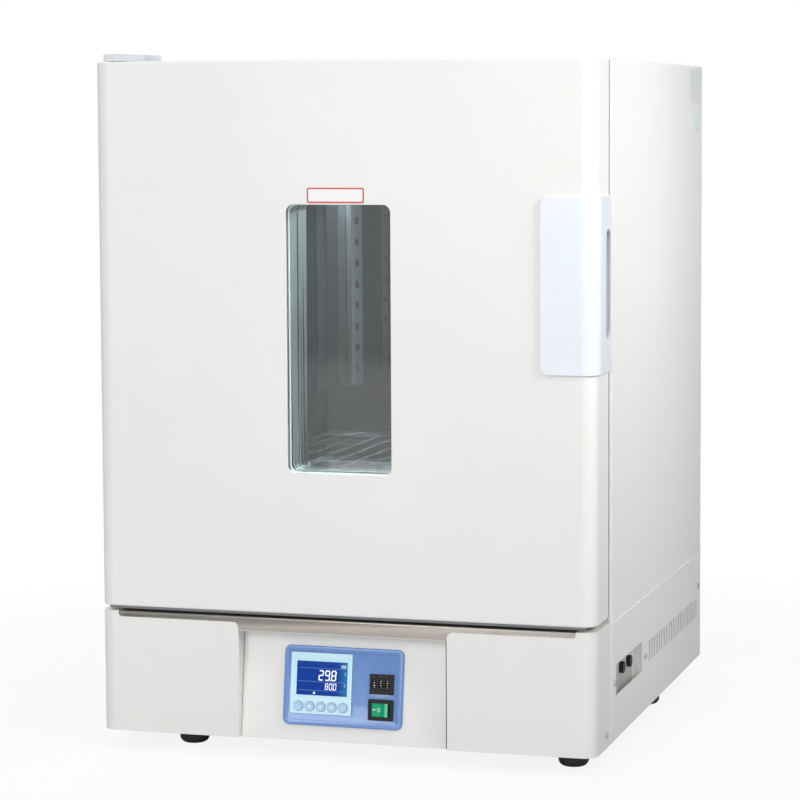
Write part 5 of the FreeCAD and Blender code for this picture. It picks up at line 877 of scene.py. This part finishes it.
class OVEN_OT_chamber(Operator):
    """Finish the chamber, its shelves, heaters and fan"""

    bl_idname = "oven.chamber"
    bl_label = "Chamber"

    def execute(self, context):
        settings = context.scene.oven_metal
        bright = tuple(settings.chamber_steel)
        # painted shade: the liner and the door's inner sheet are darkened to the shade inside the closed
        # chamber
        dress(brushed_steel("Chamber sheet in painted shade", shaded(bright, 0.30), (1.0, 1.0, 0.02), 0.08, settings, 0.05),
              "chamber_liner", "door_liner", "exhaust_port")
        dress(mirror_sheet("Mirror sheet", shaded(bright, 1.10), settings), "back_baffle")
        # The window lining carries painted reflections in its bright streaks.
        dress(window_lining("Window lining with painted reflections", bright), "window_tunnel")
        # painted shade: the floor, the shelf wire and the sensor are darkened as well
        dress(brushed_steel("Floor sheet in painted shade", shaded(bright, 0.45), (0.02, 1.0, 1.0), 0.12, settings, 0.06),
              "floor_plate")
        dress(bright_wire("Shelf chrome in painted shade", shaded(tuple(settings.chrome), 0.45)),
              "shelf_upper", "shelf_lower", "shelf_hooks", "temperature_sensor")
        dress(heat_steel("Heater sheath"), "heater_elements")
        dress(cast_alloy("Fan alloy", (0.52, 0.53, 0.54)), "fan_wheel")
        dress(cast_alloy("Motor enamel", (0.03, 0.03, 0.032), 0.5), "fan_motor")
        dress(wool("Mineral wool"), "cabinet_insulation", "door_insulation")
        return {"FINISHED"}


class OVEN_OT_ducts(Operator):
    """Side ducts whose slots are as wide as in the photo"""

    bl_idname = "oven.ducts"
    bl_label = "Side ducts"

    def execute(self, context):
        ducts = merged_copy("side_ducts", "duct_sheets")
        low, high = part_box("side_ducts")
        cutters = []
        for front, rear in SLOT_SPANS:
            for row in range(SLOT_ROWS):
                z = low.z + SLOT_FOOT + row * SLOT_PITCH
                for side in (-1, 1):
                    face = side * DUCT_FACE
                    cutters.append(add_block("cutter", (face - 0.003, front, z - SLOT_HEIGHT / 2),
                                             (face + 0.003, rear, z + SLOT_HEIGHT / 2)))
        cut_out(ducts, join("slots", cutters))
        # The ducts carry bands of painted reflection, highlight and shade.
        paint(ducts, duct_sheet("Duct painted reflections", tuple(context.scene.oven_metal.chamber_steel)))
        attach(ducts, "root")
        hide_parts("side_ducts")
        return {"FINISHED"}


class OVEN_OT_fittings(Operator):
    """Finish the trim, hinges, latch, gasket, glass, handle and feet"""

    bl_idname = "oven.fittings"
    bl_label = "Fittings"

    def execute(self, context):
        metal = context.scene.oven_metal
        handle = tuple(context.scene.oven_paint.handle)
        trim = softened("deck_plate", "deck_trim", 0.0009, 0.168)
        paint(trim, brushed_steel("Deck trim", tuple(metal.steel), (0.02, 1.0, 1.0), 0.26, metal))
        move_faces(trim, lambda face: face.normal.z < -0.9 and face.calc_center_median().z < 0.156,
                   (0.0, 0.0, -LIP_DROP))
        move_faces(trim, lambda face: faces_front(face) and face.calc_center_median().y < -0.328,
                   (0.0, -LIP_PROUD, 0.0))
        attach(trim, "root")
        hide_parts("deck_plate")
        dress(plated("Zinc plate", tuple(metal.zinc)),
              "hinge_arms", "latch_keeper", "exhaust_damper", "panel_screws")
        dress(moulded("Handle moulding", handle, 0.24, 0.0011, 0.00001, 0.97, Coat_Weight=0.25),
              "handle_body")
        dress(moulded("Hinge cap grey", shaded(handle, 0.80), 0.34, 0.0011, 0.00001, 0.97), "hinge_cap")
        dress(moulded("Grey latch", shaded(handle, 0.9), 0.3), "latch_lever")
        dress(moulded("Bearing plastic", (0.75, 0.74, 0.70), 0.45), "hinge_bushes")
        dress(moulded("Black plastic", (0.012, 0.012, 0.013), 0.42), "cable_gland", "fuse_holders")
        dress(elastic("Silicone gasket", (0.075, 0.08, 0.09), 0.55, 0.0012), "door_gasket")
        dress(elastic("Foot rubber", (0.030, 0.030, 0.031), 0.62, 0.0009), "rubber_feet")
        dress(window_pane("Window glass"), "window_glass")
        return {"FINISHED"}


class OVEN_OT_pane_bead(Operator):
    """Bead of white silicone behind the outer pane, glowing faintly as painted light"""

    bl_idname = "oven.pane_bead"
    bl_label = "Pane bead"

    def execute(self, context):
        low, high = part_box("window_tunnel")
        front, rear = BEAD_SPAN
        piece = add_block("pane_bead", (low.x + TUNNEL_WALL, front, low.z + TUNNEL_WALL),
                          (high.x - TUNNEL_WALL, rear, high.z - TUNNEL_WALL))
        round_edges(piece, lambda edge: runs_along(edge, 1), BEAD_CORNER, 8)
        edit(piece, "FACE", lambda face: abs(face.normal.y) > 0.9)
        bpy.ops.mesh.inset(thickness=BEAD_WIDTH)
        bpy.ops.mesh.bridge_edge_loops()
        done()
        # painted light: the bead glows faintly, though it is no lamp
        paint(piece, plain_print("White silicone with painted glow", (0.86, 0.86, 0.84), 0.4, 0.3))
        smooth(piece)
        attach(piece, "door")
        return {"FINISHED"}


class OVEN_OT_seams(Operator):
    """Dark strip of painted shadow in the seam beside the slanted panel, folded edges of the right side with
    a painted highlight, grey strip under the door
    """

    bl_idname = "oven.seams"
    bl_label = "Seams and folded edges"

    def execute(self, context):
        # painted shadow: a dark strip stands in the seam where the gap beside the panel is in shade
        seam = add_block("panel_shadow_strip", SEAM_LOW, SEAM_HIGH)
        paint(seam, elastic("Seam painted shadow", (0.03, 0.03, 0.032), 0.6, 0.0008))
        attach(seam, "root")
        upright = add_block("upright", EDGE_LOW, EDGE_HIGH)
        step = add_block("step", STEP_LOW, STEP_HIGH)
        for fold, axis in ((upright, 2), (step, 1)):
            round_edges(fold, lambda edge: middle(edge).x > 0.311 and runs_along(edge, axis, 0.1), 0.0009, 3)
        folds = join("side_folds", [upright, step])
        smooth(folds, 50.0)
        settings = context.scene.oven_paint
        # the rounded folds catch the light; their coat is also painted lighter than the cabinet, as painted
        # highlight
        paint(folds, powder_coat("Folded edge coat with painted highlight", shaded(tuple(settings.cabinet), 1.05), settings, 0.30))
        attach(folds, "root")
        strip = add_block("door_strip", DOOR_STRIP_LOW, DOOR_STRIP_HIGH)
        round_edges(strip, lambda edge: middle(edge).z < 0.173 and runs_along(edge, 0, 0.1), 0.0012, 3)
        smooth(strip)
        paint(strip, elastic("Door strip grey", (0.20, 0.205, 0.225), 0.5, 0.0010))
        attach(strip, "door")
        return {"FINISHED"}


class OVEN_OT_panel(Operator):
    """Finish the control panel"""

    bl_idname = "oven.panel"
    bl_label = "Panel mouldings"

    def execute(self, context):
        settings = context.scene.oven_panel
        bezel = softened("panel_bezel", "bezel_moulding", 0.0012)
        paint(bezel, moulded("Bezel blue", tuple(settings.bezel), 0.24, 0.0009, 0.000012, 0.97,
                             Coat_Weight=0.5))
        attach(bezel, "root")
        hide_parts("panel_bezel")
        dress(printed_film("Controller film", settings), "controller_unit")
        dress(lit_screen("Lit display", settings), "lcd_screen")
        dress(moulded("Switch black", (0.009, 0.009, 0.0095), 0.46, 0.0004, Specular_IOR_Level=0.3),
              "pushwheel_housing", "rocker_housing", *(f"digit_wheel_{n}" for n in (1, 2, 3)),
              *(f"{kind}_tab_{n}" for kind in ("plus", "minus") for n in (1, 2, 3)))
        # The rocker's paler right end is painted light.
        dress(rocker_plastic("Rocker green", tuple(settings.rocker), tuple(settings.rocker_end)),
              "power_rocker")
        return {"FINISHED"}


class OVEN_OT_display(Operator):
    """Figures, lines and the small mark on the display"""

    bl_idname = "oven.display"
    bl_label = "Display figures"

    def execute(self, context):
        settings = context.scene.oven_panel
        parts = [
            figures("large", settings.large_figures, settings.figure_height, *LARGE_PLACE),
            figures("small", settings.small_figures, settings.small_figure_height, *SMALL_PLACE),
            figures("count", "000", 0.0034, *COUNT_PLACE),
            figures("unit", "C", 0.0030, *LARGE_UNIT_PLACE),
            figures("unit", "C", 0.0024, *SMALL_UNIT_PLACE),
        ]
        mark = triangle_mark("heat mark", 0.0021, 0.0)
        parts.append(put_on(mark, Matrix.Translation(HEAT_MARK_PLACE)))
        left, right = RULE_ENDS
        lines = [add_block("rule", (left, -0.00015, slope), (right, 0.0, slope + RULE_WIDTH))
                 for slope in RULE_SLOPES]
        lit = plain_print("Lit figures", tuple(settings.mark), 0.35, 0.3)
        faint = plain_print("Lit rules", tuple(settings.rule), 0.35, 0.1)
        for name, pieces, ink in (("display_figures", parts, lit), ("display_rules", lines, faint)):
            piece = join(name, pieces)
            put_on(piece, PANEL @ Matrix.Translation((0.0, CONTROLLER_FACE, 0.0)))
            paint(piece, ink)
            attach(piece, "root")
        return {"FINISHED"}


def key_cap():
    """Round key cap with a dished top inside a narrow rim."""
    cap = add_disc("key cap", KEY_RADIUS, KEY_LENGTH, 40, (0.0, KEY_LENGTH / 2, 0.0))
    inset_faces(cap, faces_front, (0.0003, 0.0002), (0.0006, 0.0), (0.0003, -0.00025), (0.0012, -0.0001))
    return cap


class OVEN_OT_keys(Operator):
    """Five round keys, with arrows on the middle three"""

    bl_idname = "oven.keys"
    bl_label = "Keys"

    def execute(self, context):
        settings = context.scene.oven_panel
        face = moulded("Key plastic", tuple(settings.key), 0.28, 0.0008, 0.000008)
        # painted shade on the rounded rim of each key cap
        rim = moulded("Key rim painted shade", tuple(settings.key_rim), 0.34, 0.0008, 0.000008)
        # painted light: the printed arrows glow faintly
        ink = plain_print("Key arrows with painted glow", tuple(settings.mark), 0.4, 0.05)
        cap = key_cap()
        paint(cap, face, rim, ink)
        # faces off the flat top take the rim colour of painted shade
        for polygon in cap.data.polygons:
            reach = math.hypot(polygon.center.x, polygon.center.z)
            flat = polygon.normal.y < -0.5
            polygon.material_index = 0 if flat and reach < KEY_FLAT else 1
        for number, x in enumerate(KEY_XS, 1):
            key = copy_to(cap, f"key_cap_{number}", Matrix.Identity(4))
            if number in ARROW_TURNS:
                arrow = triangle_mark("arrow", 0.0022, ARROW_TURNS[number])
                paint(arrow, face, rim, ink)
                for polygon in arrow.data.polygons:
                    polygon.material_index = 2
                key = join(f"key_cap_{number}", [key, arrow])
            put_on(key, PANEL @ Matrix.Translation((x, KEY_FACE, KEY_SLOPE)))
            smooth(key)
            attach(key, f"key_{number}")
            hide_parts(f"key_{number}")
        bpy.data.objects.remove(cap)
        return {"FINISHED"}


def numeral(digit, height):
    """One printed numeral, centred at the origin and facing -Y."""
    deselect()
    bpy.ops.object.text_add(rotation=(math.pi / 2, 0.0, 0.0))
    text = bpy.context.active_object
    text.data.body = str(digit)
    text.data.size = height * 1.38
    text.data.extrude = 0.00004
    text.data.offset = height * 0.03
    text.data.resolution_u = 4
    text.data.align_x = "CENTER"
    bpy.ops.object.convert(target="MESH")
    piece = take(f"numeral {digit}")
    spots = [corner.co for corner in piece.data.vertices]
    low = Vector([min(co[axis] for co in spots) for axis in range(3)])
    high = Vector([max(co[axis] for co in spots) for axis in range(3)])
    return put_on(piece, Matrix.Translation(-(low + high) / 2))


class OVEN_OT_numerals(Operator):
    """Ten numerals on each digit wheel"""

    bl_idname = "oven.numerals"
    bl_label = "Wheel numerals"

    def execute(self, context):
        # painted light: the numerals glow a little so that they read in the shade of their window
        ink = plain_print("Numeral ink with painted glow", tuple(context.scene.oven_panel.mark), 0.45, 0.35)
        digits = [numeral(digit, NUMERAL_HEIGHT) for digit in range(10)]
        for number, (x, shown) in enumerate(zip(WHEEL_XS, SHOWN_DIGITS), 1):
            axle = Matrix.Translation((x, WHEEL_AXLE_DEPTH, WHEEL_SLOPE))
            strip = []
            for digit, shape in enumerate(digits):
                turn = Matrix.Rotation(math.radians(36.0) * (digit - shown), 4, "X")
                outward = Matrix.Translation((-NUMERAL_SHIFT, -WHEEL_FLAT - 0.00002, 0.0))
                strip.append(copy_to(shape, "numeral", PANEL @ axle @ turn @ outward))
            piece = join(f"numerals_{number}", strip)
            paint(piece, ink)
            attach(piece, f"digit_wheel_{number}")
        for shape in digits:
            bpy.data.objects.remove(shape)
        return {"FINISHED"}


class OVEN_OT_switch_marks(Operator):
    """Plus and minus on the push tabs, a bar and a ring on the rocker"""

    bl_idname = "oven.switch_marks"
    bl_label = "Switch marks"

    def execute(self, context):
        ink = plain_print("Switch ink", tuple(context.scene.oven_panel.mark), 0.4)
        faint = plain_print("Tab ink", (0.30, 0.30, 0.30), 0.5)
        reach, depth, half = TAB_MARK
        for number, x in enumerate(WHEEL_XS, 1):
            for kind, side in (("plus", 1), ("minus", -1)):
                bars = [add_block("bar", (-reach, -depth, -half), (reach, 0.0, half))]
                if side == 1:
                    bars.append(add_block("bar", (-half, -depth, -reach), (half, 0.0, reach)))
                mark = join(f"{kind}_mark_{number}", bars)
                put_on(mark, PANEL @ Matrix.Translation((x, TAB_FACE, WHEEL_SLOPE + side * TAB_RISE)))
                paint(mark, faint)
                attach(mark, f"{kind}_tab_{number}")
        bar = add_block("bar", (-0.0095, -0.00012, -0.00045), (-0.0055, 0.0, 0.00045))
        deselect()
        bpy.ops.mesh.primitive_torus_add(major_segments=40, minor_segments=6, major_radius=0.0017,
                                         minor_radius=0.0003, rotation=(math.pi / 2, 0.0, 0.0))
        ring = take("ring")
        put_on(ring, Matrix.Translation((-0.0016, 0.0, 0.0)) @ Matrix.Diagonal((0.9, 0.4, 1.25, 1.0)))
        marks = join("rocker_marks", [bar, ring])
        x, slope = ROCKER_MIDDLE
        crease = Matrix.Rotation(math.radians(-10.0), 4, "Z") @ Matrix.Translation((0.0, -0.0036, 0.0))
        face = crease @ Matrix.Rotation(math.atan2(1.6, 10.3), 4, "Z")
        put_on(marks, PANEL @ Matrix.Translation((x, -0.001, slope)) @ face)
        paint(marks, ink)
        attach(marks, "power_rocker")
        return {"FINISHED"}


def islands(node):
    """Lowest and highest corner of each separate body of a CAD node."""
    shape = bmesh.new()
    shape.from_mesh(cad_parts[node].data)
    bmesh.ops.remove_doubles(shape, verts=shape.verts, dist=1e-6)
    left = set(shape.verts)
    found = []
    while left:
        group = {left.pop()}
        border = set(group)
        while border:
            border = {edge.other_vert(vert) for vert in border for edge in vert.link_edges} - group
            group |= border
        left -= group
        low = Vector([min(vert.co[axis] for vert in group) for axis in range(3)])
        high = Vector([max(vert.co[axis] for vert in group) for axis in range(3)])
        found.append((low, high))
    shape.free()
    return found


def cross_screw():
    """Pan-head screw along Y with its head to -Y, a crowned head and a cross recess."""
    head = add_disc("screw", SCREW_RADIUS, SCREW_HEAD, 28, (0.0, -SCREW_HEAD / 2, 0.0))
    round_edges(head, lambda edge: all(corner.co.y < -0.002 for corner in edge.verts), SCREW_HEAD / 2, 4)
    edit(head, "FACE", lambda face: face.normal.y > 0.9)
    bpy.ops.mesh.inset(thickness=0.0016)
    bpy.ops.mesh.extrude_region_move(TRANSFORM_OT_translate={"value": (0.0, SCREW_SHANK, 0.0)})
    done()
    for wide, high in ((CROSS_REACH, CROSS_HALF), (CROSS_HALF, CROSS_REACH)):
        cut_out(head, add_block("cutter", (-wide, -0.003, -high), (wide, -0.0010, high)))
    return head


class OVEN_OT_screws(Operator):
    """Cross-head screws in place of the plain ones"""

    bl_idname = "oven.screws"
    bl_label = "Screws"

    def execute(self, context):
        screw = cross_screw()
        made = []
        for low, high in islands("panel_screws"):
            size = high - low
            long_axis = max(range(3), key=lambda axis: size[axis])
            centre = (low + high) / 2
            if long_axis == 1:
                turn = Matrix.Rotation(math.pi, 4, "Z")
                seat = Vector((centre.x, high.y - SCREW_HEAD, centre.z))
            elif centre.x > 0:
                turn = Matrix.Rotation(math.pi / 2, 4, "Z")
                seat = Vector((high.x - SCREW_HEAD, centre.y, centre.z))
            else:
                turn = Matrix.Rotation(-math.pi / 2, 4, "Z")
                seat = Vector((low.x + SCREW_HEAD, centre.y, centre.z))
            spin = Matrix.Rotation(len(made) * 0.9, 4, "Y")
            made.append(copy_to(screw, "screw", Matrix.Translation(seat) @ turn @ spin))
        bpy.data.objects.remove(screw)
        piece = join("cross_screws", made)
        paint(piece, plated("Screw nickel", (0.66, 0.65, 0.62)))
        smooth(piece)
        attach(piece, "root")
        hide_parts("panel_screws")
        return {"FINISHED"}


def sticker(name, low, high, border, radius):
    """Thin plate with rounded corners facing -Y and a border band of its own."""
    plate = add_block(name, low, high)
    round_edges(plate, lambda edge: runs_along(edge, 1), radius, 4)
    inset_faces(plate, faces_front, (border, 0.0))
    return plate


class OVEN_OT_labels(Operator):
    """Bare plate above the window, bare plate and round mark on the side"""

    bl_idname = "oven.labels"
    bl_label = "Bare plates"

    def execute(self, context):
        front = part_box("door_skin")[0].y
        plate = sticker("door_plate", (PLATE_X[0], front - PLATE_THICKNESS, PLATE_Z[0]),
                        (PLATE_X[1], front, PLATE_Z[1]), PLATE_BORDER, PLATE_CORNER)
        white = plain_print("Plate white", display_colour(240, 240, 240), 0.35)
        red = plain_print("Plate border", display_colour(216, 44, 36), 0.35)
        paint(plate, white, red)
        for polygon in plate.data.polygons:
            inner = faces_front(polygon) and polygon.area > 0.0005
            polygon.material_index = 0 if inner else 1
        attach(plate, "door")

        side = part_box("outer_case")[1].x
        turn = Matrix.Translation((side, 0.0, 0.0)) @ Matrix.Rotation(math.pi / 2, 4, "Z")
        dot = add_disc("side_dot", DOT_RADIUS, 0.0003, 48, (DOT_PLACE[0], -0.00015, DOT_PLACE[1]))
        inset_faces(dot, faces_front, (0.0012, 0.0))
        put_on(dot, turn)
        green = plain_print("Dot green", display_colour(221, 242, 229), 0.35)
        pale = plain_print("Dot edge", display_colour(168, 212, 182), 0.35)
        paint(dot, green, pale)
        for polygon in dot.data.polygons:
            polygon.material_index = 0 if polygon.area > 0.0003 else 1
        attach(dot, "root")

        bare = sticker("side_plate", (SIDE_PLATE_LOW[0], -0.0003, SIDE_PLATE_LOW[1]),
                       (SIDE_PLATE_HIGH[0], 0.0, SIDE_PLATE_HIGH[1]), 0.0012, 0.0015)
        put_on(bare, turn)
        paint(bare, plain_print("Side plate", display_colour(222, 224, 224), 0.30))
        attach(bare, "root")
        return {"FINISHED"}


class OVEN_OT_studio(Operator):
    """Camera, lamps, floor and surroundings"""

    bl_idname = "oven.studio"
    bl_label = "Studio"

    def execute(self, context):
        scene = context.scene
        settings = scene.oven_studio
        scene.view_settings.view_transform = "Standard"

        lens = bpy.data.cameras.new("Camera")
        lens.lens = settings.focal
        lens.sensor_width = 36.0
        lens.clip_end = 100.0
        lens.shift_y = settings.rise
        camera = bpy.data.objects.new("Camera", lens)
        scene.collection.objects.link(camera)
        camera.matrix_world = (Matrix.Translation(settings.place)
                               @ Matrix.Rotation(settings.yaw, 4, "Z")
                               @ Matrix.Rotation(math.pi / 2 - settings.pitch, 4, "X")
                               @ Matrix.Rotation(settings.roll, 4, "Z"))
        scene.camera = camera

        deselect()
        bpy.ops.mesh.primitive_plane_add(size=14.0, location=(0.0, 0.0, 0.0))
        floor = take("floor")
        paint(floor, studio_floor("Studio floor", tuple(settings.floor)))

        lamps = (
            ("key lamp", settings.key_power, (-0.6, -5.2, 2.05), (0.0, 0.0, 0.25), 3.0, 180.0),
            ("side lamp", settings.fill_power, (1.65, -0.55, 1.3), (0.31, -0.10, 0.71), 0.8, 57.0),
            ("top lamp", settings.top_power, (0.0, -0.2, 3.0), (0.0, 0.0, 0.4), 2.6, 180.0),
            ("back lamp", settings.back_power, (-2.2, 4.2, 2.2), (0.0, 0.2, 0.42), 3.0, 180.0),
            ("chamber lamp", settings.chamber_power, (0.06, 0.08, 0.750), (-0.21, 0.09, 0.55), 0.08, 180.0),
        )
        for name, power, place, aim, size, spread in lamps:
            lamp = bpy.data.lights.new(name, "AREA")
            lamp.energy = power
            lamp.size = size
            lamp.spread = math.radians(spread)
            stand = bpy.data.objects.new(name, lamp)
            scene.collection.objects.link(stand)
            stand.location = place
            stand.visible_camera = False
            stand.rotation_euler = (Vector(aim) - Vector(place)).to_track_quat("-Z", "Y").to_euler()

        world = bpy.data.worlds.new("Studio")
        world.use_nodes = True
        scene.world = world
        graph = Graph(world.node_tree)
        backdrop = graph.node("ShaderNodeBackground", {}, {"Color": (1.0, 1.0, 1.0, 1.0), "Strength": 1.0})
        sky = graph.node("ShaderNodeBackground", {}, {"Color": SKY_COLOUR, "Strength": settings.world})
        blend = graph.node("ShaderNodeMixShader", {}, {0: graph.seen_directly(), 1: sky, 2: backdrop})
        graph.node("ShaderNodeOutputWorld", {}, {"Surface": blend})
        return {"FINISHED"}


PIECES = (
    OVEN_OT_sheetwork, OVEN_OT_chamber, OVEN_OT_ducts, OVEN_OT_fittings, OVEN_OT_pane_bead,
    OVEN_OT_seams, OVEN_OT_panel, OVEN_OT_display, OVEN_OT_keys, OVEN_OT_numerals,
    OVEN_OT_switch_marks, OVEN_OT_screws, OVEN_OT_labels, OVEN_OT_studio,
)
SETTINGS = {
    "oven_paint": PaintSettings, "oven_panel": PanelSettings, "oven_metal": MetalSettings,
    "oven_studio": StudioSettings,
}


class OVEN_PT_build(Panel):
    """Steps that dress the oven"""

    bl_idname = "OVEN_PT_build"
    bl_label = "Drying oven"
    bl_space_type = "VIEW_3D"
    bl_region_type = "UI"
    bl_category = "Oven"

    def draw(self, context):
        for piece in PIECES:
            self.layout.operator(piece.bl_idname)
        for name, group in SETTINGS.items():
            box = self.layout.box()
            for setting in group.__annotations__:
                box.prop(getattr(context.scene, name), setting)


def register():
    """Add the settings, the steps and the sidebar panel."""
    for name, group in SETTINGS.items():
        bpy.utils.register_class(group)
        setattr(bpy.types.Scene, name, PointerProperty(type=group))
    for piece in (*PIECES, OVEN_PT_build):
        bpy.utils.register_class(piece)


def unregister():
    """Take them away again."""
    for piece in (OVEN_PT_build, *reversed(PIECES)):
        bpy.utils.unregister_class(piece)
    for name, group in SETTINGS.items():
        delattr(bpy.types.Scene, name)
        bpy.utils.unregister_class(group)


def main():
    """Build every piece."""
    register()
    bpy.ops.oven.sheetwork()
    bpy.ops.oven.chamber()
    bpy.ops.oven.ducts()
    bpy.ops.oven.fittings()
    bpy.ops.oven.pane_bead()
    bpy.ops.oven.seams()
    bpy.ops.oven.panel()
    bpy.ops.oven.display()
    bpy.ops.oven.keys()
    bpy.ops.oven.numerals()
    bpy.ops.oven.switch_marks()
    bpy.ops.oven.screws()
    bpy.ops.oven.labels()
    bpy.ops.oven.studio()


if __name__ == "__main__":
    main()
